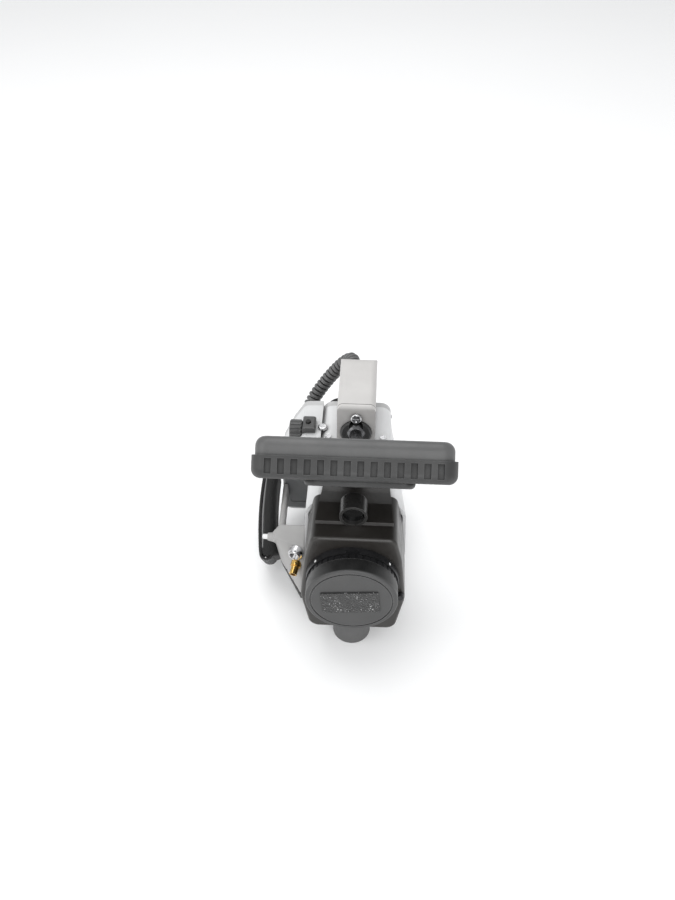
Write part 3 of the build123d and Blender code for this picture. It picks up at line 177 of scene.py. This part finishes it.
class Finish:
    """One material, ending in a principled shader whose constants are set on its own sockets."""

    def __init__(self, name, **constants):
        self.material = bpy.data.materials.new(name)
        self.material.use_nodes = True
        self.tree = self.material.node_tree
        self.shader = self.tree.nodes["Principled BSDF"]
        for socket, value in constants.items():
            self.shader.inputs[socket.replace("_", " ")].default_value = value

    def node(self, kind, settings, sockets, out=0):
        made = self.tree.nodes.new(kind)
        stops = settings.pop("stops", None)
        for setting, value in settings.items():
            setattr(made, setting, value)
        if stops:
            ramp = made.color_ramp.elements
            while len(ramp) < len(stops):
                ramp.new(0.5)
            for element, (position, colour) in zip(ramp, stops):
                element.position = position
                element.color = (*colour, 1)
        for socket, value in sockets.items():
            if isinstance(value, Signal):
                self.tree.links.new(value.socket, made.inputs[socket])
            else:
                made.inputs[socket].default_value = value
        return Signal(self, made.outputs[out])

    def place(self):
        return self.node("ShaderNodeTexCoord", {}, {}, "Object")

    def part_of(self, vector, axis):
        """One axis of a place, as a number."""
        return self.node("ShaderNodeSeparateXYZ", {}, {0: vector}, axis)

    def noise(self, size, detail=3.0, rough=0.55, at=None, stretch=None):
        """Noise whose features are about this many metres across."""
        at = at or self.place()
        if stretch:
            at = self.node("ShaderNodeMapping", {}, {"Vector": at, "Scale": stretch})
        sockets = {"Vector": at, "Scale": 1 / size, "Detail": detail, "Roughness": rough}
        return self.node("ShaderNodeTexNoise", {}, sockets, "Fac")

    def ramp(self, signal, stops):
        return self.node("ShaderNodeValToRGB", {"stops": stops}, {"Fac": signal}, "Color")

    def spread(self, signal, low, high, to_low, to_high):
        """Moves a number from one range to another, clamped."""
        sockets = {"Value": signal, "From Min": low, "From Max": high, "To Min": to_low, "To Max": to_high}
        return self.node("ShaderNodeMapRange", {}, sockets)

    def blend(self, share, first, second):
        return self.node("ShaderNodeMix", {"data_type": "RGBA"}, {0: share, 6: first, 7: second}, 2)

    def edges(self, radius):
        """Near 1 on outer edges, where wear rubs or a painted highlight is laid, and 0 on flats."""
        bevel = self.node("ShaderNodeBevel", {"samples": 4}, {"Radius": radius})
        flat = self.node("ShaderNodeNewGeometry", {}, {}, "Normal")
        dot = self.node("ShaderNodeVectorMath", {"operation": "DOT_PRODUCT"}, {0: bevel, 1: flat}, "Value")
        return self.spread(1 - dot, 0.01, 0.18, 0.0, 1.0)

    def crevices(self, reach, deepest=0.35):
        """0 deep in a groove or along an inner corner, and 1 in the open."""
        sockets = {"Distance": reach}
        open_share = self.node("ShaderNodeAmbientOcclusion", {"samples": 8}, sockets, "AO")
        return self.spread(open_share, deepest, 0.97, 0.0, 1.0)

    def feed(self, socket, signal):
        self.tree.links.new(signal.socket, self.shader.inputs[socket])

    def bump(self, height, depth, strength=1.0):
        sockets = {"Height": height, "Distance": depth, "Strength": strength}
        self.feed("Normal", self.node("ShaderNodeBump", {}, sockets))


def shade(grey, warm=0.0):
    """A display grey from 0 to 255 as a linear colour, slightly warm or cool."""
    return [((grey + shift) / 255) ** 2.2 for shift in (warm, 0.0, -warm)] + [1.0]


def moulded(
    name,
    grey,
    warm=0.0,
    rough=0.5,
    grain=0.0006,
    depth=0.00004,
    mottle=0.06,
    wear=0.0,
    crevice_shade=0.0,
    deepest=0.35,
):
    """Moulded or painted plastic: a cast grain, slow colour drift, rubbed edges, painted shade in grooves.
    """
    finish = Finish(name)
    drift = finish.noise(0.03, 4.0)
    fine = finish.noise(grain, 2.0)
    low, high = shade(grey * (1 - mottle), warm), shade(grey * (1 + mottle), warm)
    colour = finish.blend(finish.spread(drift, 0.3, 0.7, 0.0, 1.0), low, high)
    smudge = finish.noise(0.012, 5.0, 0.7)
    if wear:
        rubbed = finish.edges(0.0009) * finish.spread(smudge, 0.35, 0.6, 0.2, 1.0) * wear
        colour = finish.blend(rubbed, colour, shade(min(235, grey + 70), warm))
    # Darkens grooves and inner corners by ambient occlusion, towards a near black of the same tone: painted
    # shade.
    if crevice_shade:
        painted_shade = (1 - finish.crevices(0.004, deepest)) * crevice_shade
        colour = finish.blend(painted_shade, colour, shade(grey * 0.28, warm))
    finish.feed("Base Color", colour)
    finish.feed("Roughness", finish.spread(smudge, 0.3, 0.75, rough - 0.07, rough + 0.1))
    finish.bump(fine, depth)
    return finish.material


def dress(material, *nodes):
    """Gives CAD nodes a finish."""
    for name in nodes:
        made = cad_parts[name]
        if not made.material_slots:
            made.data.materials.append(material)
        for place_holder in made.material_slots:
            place_holder.material = material


cord_rubber = moulded("cord_rubber", 92, rough=0.34, crevice_shade=0.8, grain=0.0004, depth=0.00002, mottle=0.1)
curly.data.materials.append(cord_rubber)
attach(curly, "case")
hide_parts("curly_cord")
boot_rubber = moulded("boot_rubber", 46, rough=0.5, grain=0.0005, wear=0.3)
dress(boot_rubber, "cord_boot", "cord_plug")

# ---- Shells --------------------------------------------------------------------------------
# The clamshell's covers and sides, injection moulded in light grey and coated with a soft
# satin paint, screwed together from behind.
shell_paint = moulded(
    "shell_paint", 216, -0.5, rough=0.4, grain=0.0005, depth=0.00002, mottle=0.025, crevice_shade=0.5
)
dress(shell_paint, "top_cover", "left_side_shell", "right_side_shell", "side_flap")
rear_paint = moulded("rear_paint", 184, 0.0, rough=0.48, grain=0.0006, wear=0.3)
dress(rear_paint, "rear_cover")

# ---- Side grip -----------------------------------------------------------------------------
# The box on the operator's right that the palm lies on. It is a separate moulding in the
# same satin paint, a shade darker and rubbed by the hand.
grip_paint = moulded("grip_paint", 206, -0.5, rough=0.42, grain=0.0006, mottle=0.03, crevice_shade=0.5)
dress(grip_paint, "grip_housing")

# A darker grey sheet over the front of the grip box, behind the fingers, is painted shade for the finger
# gap; a narrow latch slot is cut near its foot. It is a thin sheet laid just in front of the shell.
grip_face_shade = moulded(
    "grip_face_shade", 112, -1.0, rough=0.45, grain=0.0008, depth=0.00005, wear=0.3, crevice_shade=0.8
)
panel_left, panel_right = -0.0650, -0.0385
panel_bottom, panel_top = 0.0235, 0.0950
panel_face = 0.1170
panel_thick = 0.0010
panel_round = 0.00025
slot_middle = (-0.0520, panel_face - panel_thick, 0.0320)
slot_size = (0.0170, 0.0011, 0.0026)
panel_middle = ((panel_left + panel_right) / 2, panel_face - panel_thick / 2, (panel_bottom + panel_top) / 2)
bpy.ops.mesh.primitive_cube_add(size=1, location=panel_middle)
panel = bpy.context.object
panel.name = "grip_front_shade_sheet"
panel.scale = (panel_right - panel_left, panel_thick, panel_top - panel_bottom)
bpy.ops.object.transform_apply(location=True, rotation=True, scale=True)
bpy.ops.mesh.primitive_cube_add(size=1, location=slot_middle)
slot_cutter = bpy.context.object
slot_cutter.scale = slot_size
bpy.ops.object.transform_apply(location=True, rotation=True, scale=True)
bpy.context.view_layer.objects.active = panel
cut = panel.modifiers.new("slot", "BOOLEAN")
cut.operation = "DIFFERENCE"
cut.object = slot_cutter
bpy.ops.object.modifier_apply(modifier="slot")
bpy.data.objects.remove(slot_cutter)
rounding = panel.modifiers.new("rounding", "BEVEL")
rounding.width = panel_round
rounding.segments = 3
bpy.ops.object.modifier_apply(modifier="rounding")
bpy.ops.object.shade_smooth_by_angle(angle=math.radians(35))
panel.data.materials.append(grip_face_shade)
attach(panel, "case")

# ---- Handle --------------------------------------------------------------------------------
# The top handle's shell and its frame, docked on the body. Warm light grey paint, slightly
# darker than the body.
handle_paint = moulded(
    "handle_paint", 186, 2.0, rough=0.4, grain=0.0005, depth=0.00002, mottle=0.03, wear=0.2, crevice_shade=0.9
)
dress(handle_paint, "handle_top_shell", "handle_frame")

# ---- Nose ----------------------------------------------------------------------------------
# The nose carries the lens and is moulded in one with the dark deck that runs back under the
# display. Soft-touch charcoal coating over plastic.
nose_coat = moulded(
    "nose_coat", 44, 2.0, rough=0.34, grain=0.0009, depth=0.00005, mottle=0.1, wear=0.5, crevice_shade=0.7
)
dress(nose_coat, "nose_block")
tube_coat = moulded("tube_coat", 44, 0.5, rough=0.3, grain=0.0006, wear=0.6)
dress(tube_coat, "camera_tube")

# ---- Lens ----------------------------------------------------------------------------------
# The lens head and its ring are turned aluminium, anodised black, so they show fine turning
# marks round their own axis.
lens_axis = (0.0005, 0.0, 0.0873)
ring_scale = 0.05


def turned(name, colour, metallic, rough, centre, axis="Y", line=0.0004, depth=0.00001):
    """Turned metal: faint rings round an axis through this point."""
    finish = Finish(name, Metallic=metallic)
    centring = {"Vector": finish.place(), "Location": centre}
    moved = finish.node("ShaderNodeMapping", {"vector_type": "TEXTURE"}, centring)
    rings = finish.node(
        "ShaderNodeTexWave",
        {"wave_type": "RINGS", "rings_direction": axis},
        {"Vector": moved, "Scale": ring_scale / line, "Distortion": 0.3, "Detail": 2.0},
        "Fac",
    )
    spots = finish.noise(0.006, 4.0, 0.65)
    dark = [part * 0.72 for part in colour] + [1.0]
    stained = finish.spread(spots, 0.35, 0.7, 0.0, 1.0)
    finish.feed("Base Color", finish.blend(stained, dark, [*colour, 1.0]))
    finish.feed("Roughness", finish.spread(spots, 0.3, 0.7, rough - 0.06, rough + 0.1))
    finish.bump(rings, depth)
    return finish.material


lens_black = turned("lens_black", (0.028, 0.028, 0.03), 0.55, 0.34, lens_axis)
dress(lens_black, "lens_barrel", "focus_ring", "focus_tube", "lens_lock_knob", "shutter_flag")
germanium = turned("germanium", (0.22, 0.17, 0.24), 1.0, 0.08, lens_axis, line=0.0002, depth=0.000001)
dress(germanium, "front_lens", "rear_lens")

# Two small painted index dots on the lens ring, each a shallow filled pit.
dot_paint = moulded("dot_paint", 236, rough=0.4, grain=0.0003, mottle=0.02)
dot_lean = math.radians(52)
dot_ring_radius = 0.0353
dot_forward = -0.0193
dot_radius = 0.0011
dot_depth = 0.0008
for side in (-1, 1):
    lean = side * dot_lean
    dot_across = lens_axis[0] + dot_ring_radius * math.sin(lean)
    dot_up = lens_axis[2] + dot_ring_radius * math.cos(lean)
    bpy.ops.mesh.primitive_cylinder_add(
        vertices=32,
        radius=dot_radius,
        depth=dot_depth,
        location=(dot_across, dot_forward, dot_up),
        rotation=(0, lean, 0),
    )
    dot = bpy.context.object
    dot.name = "index_dot_left" if side > 0 else "index_dot_right"
    bpy.ops.object.mode_set(mode="EDIT")
    bpy.ops.mesh.select_all(action="SELECT")
    bpy.ops.mesh.bevel(offset=dot_depth / 4, segments=3, affect="EDGES")
    bpy.ops.object.mode_set(mode="OBJECT")
    bpy.ops.object.transform_apply(location=True, rotation=True, scale=True)
    bpy.ops.object.shade_smooth_by_angle(angle=math.radians(40))
    dot.data.materials.append(dot_paint)
    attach(dot, "case")

# ---- Lens cap ------------------------------------------------------------------------------
# A moulded push-on cap with a shallow ring groove. A patch of hook-and-loop tape is stuck on
# it, to park the cap on the body's matching patch.
cap = Finish("cap_plastic", Coat_Roughness=0.2)
cap_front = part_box("lens_cap")[0].y
cap_face_ends, cap_wall_starts = 0.0009, 0.0022
cap_depth = cap.part_of(cap.place(), "Y")
cap_wall = cap.spread(cap_depth, cap_front + cap_face_ends, cap_front + cap_wall_starts, 0.0, 1.0)
cap_cloud = cap.spread(cap.noise(0.02, 5.0, 0.65), 0.3, 0.7, 0.0, 1.0)
cap_face = cap.blend(cap_cloud, shade(57), shade(68))
cap_dark = cap.blend(cap_cloud, shade(26), shade(38))
cap_tone = cap.blend(cap_wall, cap_face, cap_dark)
# Darkens the cap's ring groove and inner corners by ambient occlusion: painted shade.
cap_tone = cap.blend((1 - cap.crevices(0.002)) * 0.9, cap_tone, shade(14))
# Lightens the cap's outer edges towards light grey: a painted highlight for the glossy rim.
cap.feed("Base Color", cap.blend(cap.edges(0.0008) * 0.35, cap_tone, shade(150)))
cap.feed("Roughness", cap.spread(cap.noise(0.01, 4.0), 0.3, 0.7, 0.34, 0.5))
cap.bump(cap.noise(0.0005, 2.0), 0.00003)
dress(cap.material, "lens_cap")

patch_low, patch_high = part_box("cap_patch")
patch_centre = (patch_low + patch_high) / 2
patch_width, patch_height, patch_thick = 0.0430, 0.0230, 0.0012
patch_turn = math.radians(-5)
patch_cuts = 46
pile_height = 0.0003
pile_scale, tuft_scale = 1500, 420
rim_width = 0.0004
bpy.ops.mesh.primitive_cube_add(size=1, location=(0, 0, 0))
patch = bpy.context.object
patch.name = "hook_tape_patch"
patch.scale = (patch_width, patch_thick, patch_height)
bpy.ops.object.transform_apply(location=False, rotation=False, scale=True)
bpy.ops.object.mode_set(mode="EDIT")
bpy.ops.mesh.select_all(action="SELECT")
bpy.ops.mesh.subdivide(number_cuts=patch_cuts)
bpy.ops.object.mode_set(mode="OBJECT")
for vertex in patch.data.vertices:
    bump = noise.noise(vertex.co * pile_scale) + 0.6 * noise.noise(vertex.co * tuft_scale)
    ragged = math.sin(vertex.co.x * 1700) * 0.00018 + math.sin(vertex.co.z * 2300 + 1) * 0.00015
    if vertex.co.y < 0:
        vertex.co.y += pile_height * bump + pile_height / 2
    if abs(vertex.co.x) > patch_width / 2 - rim_width:
        vertex.co.x -= math.copysign(rim_width / 2, vertex.co.x) + ragged
    if abs(vertex.co.z) > patch_height / 2 - rim_width:
        vertex.co.z -= math.copysign(rim_width / 2, vertex.co.z) + ragged
patch.rotation_euler = (0, patch_turn, 0)
patch.location = patch_centre
bpy.ops.object.transform_apply(location=True, rotation=True, scale=True)
hooks = Finish("hook_tape", Roughness=0.85, Sheen_Weight=0.35)
lint = hooks.noise(0.0011, 1.0, 0.4)
wide_lint = hooks.noise(0.009, 3.0, 0.6)
flecks = lint + wide_lint * 0.35 > 0.87
nap = hooks.noise(0.0005, 2.0)
base_nap = hooks.blend(hooks.spread(nap, 0.3, 0.7, 0.0, 1.0), shade(24), shade(52))
hooks.feed("Base Color", hooks.blend(flecks, base_nap, shade(186)))
hooks.bump(nap, 0.0003)
patch.data.materials.append(hooks.material)
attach(patch, "cap")
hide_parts("cap_patch")

# ---- Foot and battery ----------------------------------------------------------------------
# The round foot with the tripod socket, the battery's bay and its hinged door: grey moulded
# plastic, scuffed where it meets the table.
foot_plastic = moulded("foot_plastic", 84, rough=0.5, grain=0.0007, wear=0.5)
dress(foot_plastic, "tripod_foot", "battery_bay", "battery_door")
battery_plastic = moulded("battery_plastic", 48, rough=0.5, wear=0.3)
dress(battery_plastic, "battery_pack", "battery_latch", "detector_housing", "chassis", "base_plate")
pad_rubber = moulded("pad_rubber", 38, rough=0.7, grain=0.0009, mottle=0.12)
dress(pad_rubber, "rear_feet", "eyecup", "joystick", "record_button")

# ---- Controls ------------------------------------------------------------------------------
# The scroll wheel and its block: dark textured plastic, worn lighter on the ribs.
control_plastic = moulded("control_plastic", 74, rough=0.45, grain=0.0008, wear=0.5)
dress(control_plastic, "control_wheel", "control_housing", "handle_key_1", "handle_key_2")
dress(control_plastic, "dioptre_ring")
finder_plastic = moulded("finder_plastic", 52, rough=0.42, grain=0.0006, wear=0.4)
dress(finder_plastic, "viewfinder_tube", "ball_socket", "cord_socket")

# ---- Metal parts ---------------------------------------------------------------------------
# Screws, the ball arm and the two signal connectors on the wing.
bright_steel = turned("bright_steel", (0.72, 0.72, 0.73), 1.0, 0.2, (0, 0, 0), "Z", 0.0003)
dress(bright_steel, "case_screws", "round_connector")
arm_steel = turned("arm_steel", (0.16, 0.16, 0.165), 0.9, 0.28, (-0.0015, 0, 0.143), "Y", 0.0003)
dress(arm_steel, "display_arm", "display_back_screws", "display_neck")
brass = turned("turned_brass", (0.80, 0.52, 0.16), 1.0, 0.22, (-0.0478, 0.0248, 0.050), "Z", 0.0005, 0.00004)
dress(brass, "coax_jack")
pin_white = moulded("pin_white", 222, rough=0.3, grain=0.0004, depth=0.00001, mottle=0.03)
dress(pin_white, "strap_pin")

# ---- Glass and boards ----------------------------------------------------------------------
# Coated windows over the camera tube, the eyepiece and the display, and the boards inside.
glass = Finish("coated_glass", Roughness=0.04, Coat_Weight=1.0, Coat_Roughness=0.02)
dust = glass.noise(0.004, 6.0, 0.7)
dusty = glass.spread(dust, 0.4, 0.8, 0.0, 0.3)
glass.feed("Base Color", glass.blend(dusty, shade(10), shade(34, -2)))
dress(glass.material, "camera_tube_window", "eyepiece_lens", "display_glass")
board = Finish("solder_mask", Roughness=0.4)
tracks = board.noise(0.002, 2.0, 0.5)
board.feed("Base Color", board.ramp(tracks, [(0.45, (0.01, 0.08, 0.03)), (0.52, (0.03, 0.16, 0.06))]))
board.bump(tracks, 0.00003)
dress(board.material, "circuit_boards", "display_module", "infrared_detector")

# ---- Display -------------------------------------------------------------------------------
# The display's frame is a pillow-shaped moulding in mid grey. A ribbed rubber bumper grips
# it all round, and a dark cover closes its back.
frame_paint = moulded("frame_paint", 84, rough=0.42, grain=0.0011, depth=0.00006, wear=0.3, crevice_shade=0.6)
dress(frame_paint, "display_frame")
# The bumper's strong crevice darkening is painted shade in the grooves between its ribs.
bumper_rubber = moulded(
    "bumper_rubber",
    50,
    grain=0.0009,
    depth=0.00006,
    mottle=0.14,
    wear=0.3,
    crevice_shade=1.0,
    deepest=0.62,
)
dress(bumper_rubber, "display_bumper", "display_back_cover")

# ---- Grip wing -----------------------------------------------------------------------------
# The wing and its rail are one smooth moulding that sweeps out of the body round the finger
# gap and ends in a cone for the strap's pin. Satin light grey, rounded all over.
weld_distance = 0.00002
wing_grain = 0.0009
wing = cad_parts["grip_wing"].copy()
wing.data = wing.data.copy()
wing.name = "swept_wing"
for key in list(wing.keys()):
    del wing[key]
wing.parent = None
bpy.context.scene.collection.objects.link(wing)
bpy.ops.object.select_all(action="DESELECT")
wing.select_set(True)
bpy.context.view_layer.objects.active = wing
bpy.ops.object.mode_set(mode="EDIT")
bpy.ops.mesh.select_all(action="SELECT")
bpy.ops.mesh.remove_doubles(threshold=weld_distance)
bpy.ops.object.mode_set(mode="OBJECT")
if wing.data.has_custom_normals:
    bpy.ops.mesh.customdata_custom_splitnormals_clear()


def apply_modifier(made, kind, **settings):
    """Adds a modifier and applies it at once."""
    modifier = made.modifiers.new(kind.lower(), kind)
    for setting, value in settings.items():
        setattr(modifier, setting, value)
    bpy.context.view_layer.objects.active = made
    bpy.ops.object.modifier_apply(modifier=modifier.name)


apply_modifier(wing, "REMESH", mode="VOXEL", voxel_size=wing_grain, use_smooth_shade=True)
apply_modifier(wing, "SMOOTH", factor=0.5, iterations=14)
apply_modifier(wing, "DECIMATE", ratio=0.5)
bpy.ops.object.shade_smooth()
wing.data.materials.clear()
wing_paint = moulded("wing_paint", 154, 1.0, rough=0.4, grain=0.0006, depth=0.00002, mottle=0.04)
wing.data.materials.append(wing_paint)
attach(wing, "case")
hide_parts("grip_wing")

# ---- Hand strap ----------------------------------------------------------------------------
# A padded hand strap: a soft foam pad in knitted cover lies on the hand, and a woven band
# over it runs from the rear bracket, folds round the front end and closes on itself.
strap_along = Vector((0, 0.0645, 0.0412)).normalized()
strap_up = Vector((0, -strap_along.z, strap_along.y))
strap_start = Vector((0, 0.0560, 0.0247))
strap_length = 0.0740
strap_bow = 0.0022


def strap_point(x, along, up):
    """A point on the strap from its depth, its distance along and its height across."""
    middle = along / strap_length
    bow = strap_bow * math.sin(math.pi * min(max(middle, 0), 1))
    return Vector((x - bow, 0, 0)) + strap_start + strap_along * along + strap_up * up


band_columns = 9
band_crown = 0.0006


def strap_band(name, path, width, thickness, material):
    """A strip of webbing along a path of (depth, distance) pairs, with its length as UV."""
    last = band_columns - 1
    made = bpy.data.meshes.new(name)
    grid = bmesh.new()
    layer = grid.loops.layers.uv.new("weave")
    rows, run = [], [0.0]
    for first, second in zip(path, path[1:]):
        run.append(run[-1] + math.dist(first, second))
    for x, along in path:
        row = []
        for column in range(band_columns):
            share = column / last - 0.5
            crown = band_crown * (1 - 4 * share * share)
            row.append(grid.verts.new(strap_point(x - crown, along, share * width)))
        rows.append(row)
    for step in range(len(path) - 1):
        for column in range(last):
            spots = [(step, column), (step + 1, column), (step + 1, column + 1), (step, column + 1)]
            face = grid.faces.new([rows[at][side] for at, side in spots])
            for loop, (at, side) in zip(face.loops, spots):
                loop[layer].uv = (run[at], side / last * width)
    bmesh.ops.recalc_face_normals(grid, faces=grid.faces)
    grid.to_mesh(made)
    grid.free()
    band = bpy.data.objects.new(name, made)
    bpy.context.scene.collection.objects.link(band)
    apply_modifier(band, "SOLIDIFY", thickness=thickness, offset=0)
    rounded = {"segments": 2, "limit_method": "ANGLE", "angle_limit": 1.0}
    apply_modifier(band, "BEVEL", width=thickness * 0.3, **rounded)
    apply_modifier(band, "SUBSURF", levels=2, render_levels=2)
    band.data.materials.append(material)
    for polygon in band.data.polygons:
        polygon.use_smooth = True
    return band


def woven(name, grey, light, pitch, sheen):
    """Woven webbing: crossing threads read from the band's own length and width."""
    finish = Finish(name, Roughness=0.75, Sheen_Weight=sheen, Sheen_Roughness=0.4)
    lay = finish.node("ShaderNodeUVMap", {"uv_map": "weave"}, {})
    warp = (finish.part_of(lay, "X") * (math.tau / pitch)).sine()
    weft = (finish.part_of(lay, "Y") * (math.tau / pitch)).sine()
    cross = warp * weft
    fuzz = finish.noise(0.0006, 3.0)
    tone = finish.spread(cross + fuzz * 0.8, -0.6, 1.4, 0.0, 1.0)
    finish.feed("Base Color", finish.blend(tone, shade(grey), shade(light)))
    finish.bump(cross * 0.5 + fuzz * 0.5, 0.0003)
    return finish.material


band_weave = woven("band_weave", 14, 36, 0.0011, 0.25)
# This lighter grey weave is a painted sheen, for the strip laid between the pad and the band.
painted_sheen_weave = woven("painted_sheen_weave", 84, 140, 0.0009, 0.8)
outer_x = -0.0812
turn_radius = 0.0058
turn_steps = 9
seam_start = 0.004
band_width = 0.0335
band_thick = 0.0020
band_steps = 12
band_stride = 0.006
band_rear = strap_length - 0.001
return_steps = 4
return_stride = 0.004
band_path = [(outer_x, band_rear - step * band_stride) for step in range(band_steps)]
for step in range(1, turn_steps + 1):
    angle = math.pi * step / turn_steps
    depth_at = outer_x + turn_radius * (1 - math.cos(angle))
    band_path.append((depth_at, -turn_radius * math.sin(angle)))
inner_x = outer_x + 2 * turn_radius
band_path += [(inner_x, seam_start + step * return_stride) for step in range(return_steps)]
band = strap_band("strap_band", band_path, band_width, band_thick, band_weave)
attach(band, "case")
# A lighter grey strip between the pad and the band paints the sheen seen along the strap's edge.
sheen_strip_x = outer_x + 0.0026
sheen_strip_width = 0.0320
sheen_strip_thick = 0.0014
sheen_strip_stride = 0.0059
sheen_strip_path = [(sheen_strip_x, seam_start + step * sheen_strip_stride) for step in range(band_steps)]
sheen_strip = strap_band("strap_painted_sheen", sheen_strip_path, sheen_strip_width, sheen_strip_thick, painted_sheen_weave)
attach(sheen_strip, "case")

pad_x = -0.0718
pad_thick = 0.0118
pad_height = 0.0384
pad_low, pad_high = -0.0035, strap_length - 0.0005
pad_rows, pad_columns = 40, 22
pad_end_share = 0.07
pad_end_height, pad_end_thick = 0.86, 0.25
pad_side_power, pad_face_power = 0.55, 0.75
pad_ridges = 3
pad_ridge = 0.00045
pad_lean = -0.0026
knuckle_rise = 0.0022 / 0.0047
knuckle_at, knuckle_reach = 0.002, 0.011


def squared(value, power):
    """A sine or cosine pushed towards a rounded square."""
    return math.copysign(abs(value) ** power, value)


pad_mesh = bpy.data.meshes.new("strap_pad")
pad_grid = bmesh.new()
pad_rings = []
for row in range(pad_rows + 1):
    share = row / pad_rows
    along = pad_low + (pad_high - pad_low) * share
    end = min(share, 1 - share)
    closed = min(end / pad_end_share, 1.0)
    round_end = math.sqrt(closed * (2 - closed))
    half_height = pad_height / 2 * (pad_end_height + (1 - pad_end_height) * round_end)
    half_thick = pad_thick / 2 * (pad_end_thick + (1 - pad_end_thick) * round_end)
    ring = []
    for column in range(pad_columns):
        angle = math.tau * column / pad_columns
        up = squared(math.sin(angle), pad_side_power) * half_height
        deep = squared(math.cos(angle), pad_face_power) * half_thick
        if math.cos(angle) > 0:
            deep += pad_ridge * math.cos(up / pad_height * math.tau * pad_ridges) * round_end
        knuckle = knuckle_rise * math.exp(-(((along - knuckle_at) / knuckle_reach) ** 2))
        depth_at = pad_x + pad_lean * share + deep * (1 + knuckle)
        ring.append(pad_grid.verts.new(strap_point(depth_at, along, up)))
    pad_rings.append(ring)
for first, second in zip(pad_rings, pad_rings[1:]):
    for column in range(pad_columns):
        following = (column + 1) % pad_columns
        pad_grid.faces.new([first[column], first[following], second[following], second[column]])
pad_grid.faces.new(pad_rings[0])
pad_grid.faces.new(pad_rings[-1])
bmesh.ops.recalc_face_normals(pad_grid, faces=pad_grid.faces)
pad_grid.to_mesh(pad_mesh)
pad_grid.free()
pad = bpy.data.objects.new("strap_pad", pad_mesh)
bpy.context.scene.collection.objects.link(pad)
apply_modifier(pad, "SUBSURF", levels=1, render_levels=1)
knit = Finish("knit_cover", Roughness=0.8, Sheen_Weight=0.2, Sheen_Roughness=0.35)
cells = knit.node("ShaderNodeTexVoronoi", {}, {"Vector": knit.place(), "Scale": 900.0}, "Distance")
folds = knit.noise(0.014, 3.0, 0.6, stretch=(1, 0.35, 1))
stretched = knit.spread(cells + folds * 0.5, 0.2, 1.0, 0.0, 1.0)
knit.feed("Base Color", knit.blend(stretched, shade(9), shade(24)))
knit.bump(cells * 0.4 + folds * 2.0, 0.0006)
pad.data.materials.append(knit.material)
for polygon in pad.data.polygons:
    polygon.use_smooth = True
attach(pad, "case")
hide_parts("hand_strap")

# Lockstitch rows along both edges of the band, in polyester thread.
stitch_radius = 0.00028
stitch_count = 26
stitch_pitch = 0.0025
stitch_row = 0.0138
stitch_arch = ((0, 0.0003), (0.0008, -0.0001), (0.0016, 0.0003))
stitch_lift = 0.0009
stitch_x = outer_x - band_crown * (1 - (2 * stitch_row / band_width) ** 2) - stitch_lift
stitch_data = bpy.data.curves.new("strap_stitches", "CURVE")
stitch_data.dimensions = "3D"
stitch_data.bevel_depth = stitch_radius
stitch_data.bevel_resolution = 2
stitch_data.use_fill_caps = True
for edge in (-1, 1):
    for stitch in range(stitch_count):
        start = seam_start + stitch * stitch_pitch
        spline = stitch_data.splines.new("POLY")
        spline.points.add(len(stitch_arch) - 1)
        for point, (run, dip) in zip(spline.points, stitch_arch):
            point.co = (*strap_point(stitch_x + dip, start + run, edge * stitch_row), 1)
stitches = bpy.data.objects.new("strap_stitches", stitch_data)
bpy.context.scene.collection.objects.link(stitches)
bpy.ops.object.select_all(action="DESELECT")
stitches.select_set(True)
bpy.context.view_layer.objects.active = stitches
bpy.ops.object.convert(target="MESH")
stitches = bpy.context.object
thread = moulded("thread", 48, rough=0.6, grain=0.0003, depth=0.00005)
stitches.data.materials.append(thread)
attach(stitches, "case")

# ---- Studio --------------------------------------------------------------------------------
# A white table top under broad, soft light from above.
bpy.ops.mesh.primitive_plane_add(size=9, location=(0, 1.5, 0))
table_top = bpy.context.object
table_top.name = "table_top"
table_finish = Finish("table_white", Roughness=0.6, Specular_IOR_Level=0.25)
table_cloud = table_finish.noise(0.4, 2.0)
table_finish.feed("Base Color", table_finish.blend(table_cloud, shade(250), shade(253)))
table_top.data.materials.append(table_finish.material)


def softbox(name, location, target, size, power):
    """A square lamp pointed at a place."""
    data = bpy.data.lights.new(name, "AREA")
    data.size = size
    data.energy = power
    lamp = bpy.data.objects.new(name, data)
    bpy.context.scene.collection.objects.link(lamp)
    lamp.location = location
    pointing = Vector(target) - Vector(location)
    lamp.rotation_euler = pointing.to_track_quat("-Z", "Y").to_euler()


softbox("overhead", (-0.25, 0.5, 1.6), (0, 0.08, 0.08), 1.4, 12)
softbox("front", (0.3, -1.5, 1.0), (0, 0.05, 0.1), 1.2, 15)
softbox("left", (-1.2, -0.4, 0.9), (0, 0.05, 0.1), 0.9, 5)
world = bpy.data.worlds.new("room")
bpy.context.scene.world = world
world.use_nodes = True
room_light = world.node_tree.nodes["Background"]
room_light.inputs["Color"].default_value = (0.98, 0.99, 1.0, 1)
room_light.inputs["Strength"].default_value = 0.7
bpy.context.scene.view_settings.view_transform = "Standard"
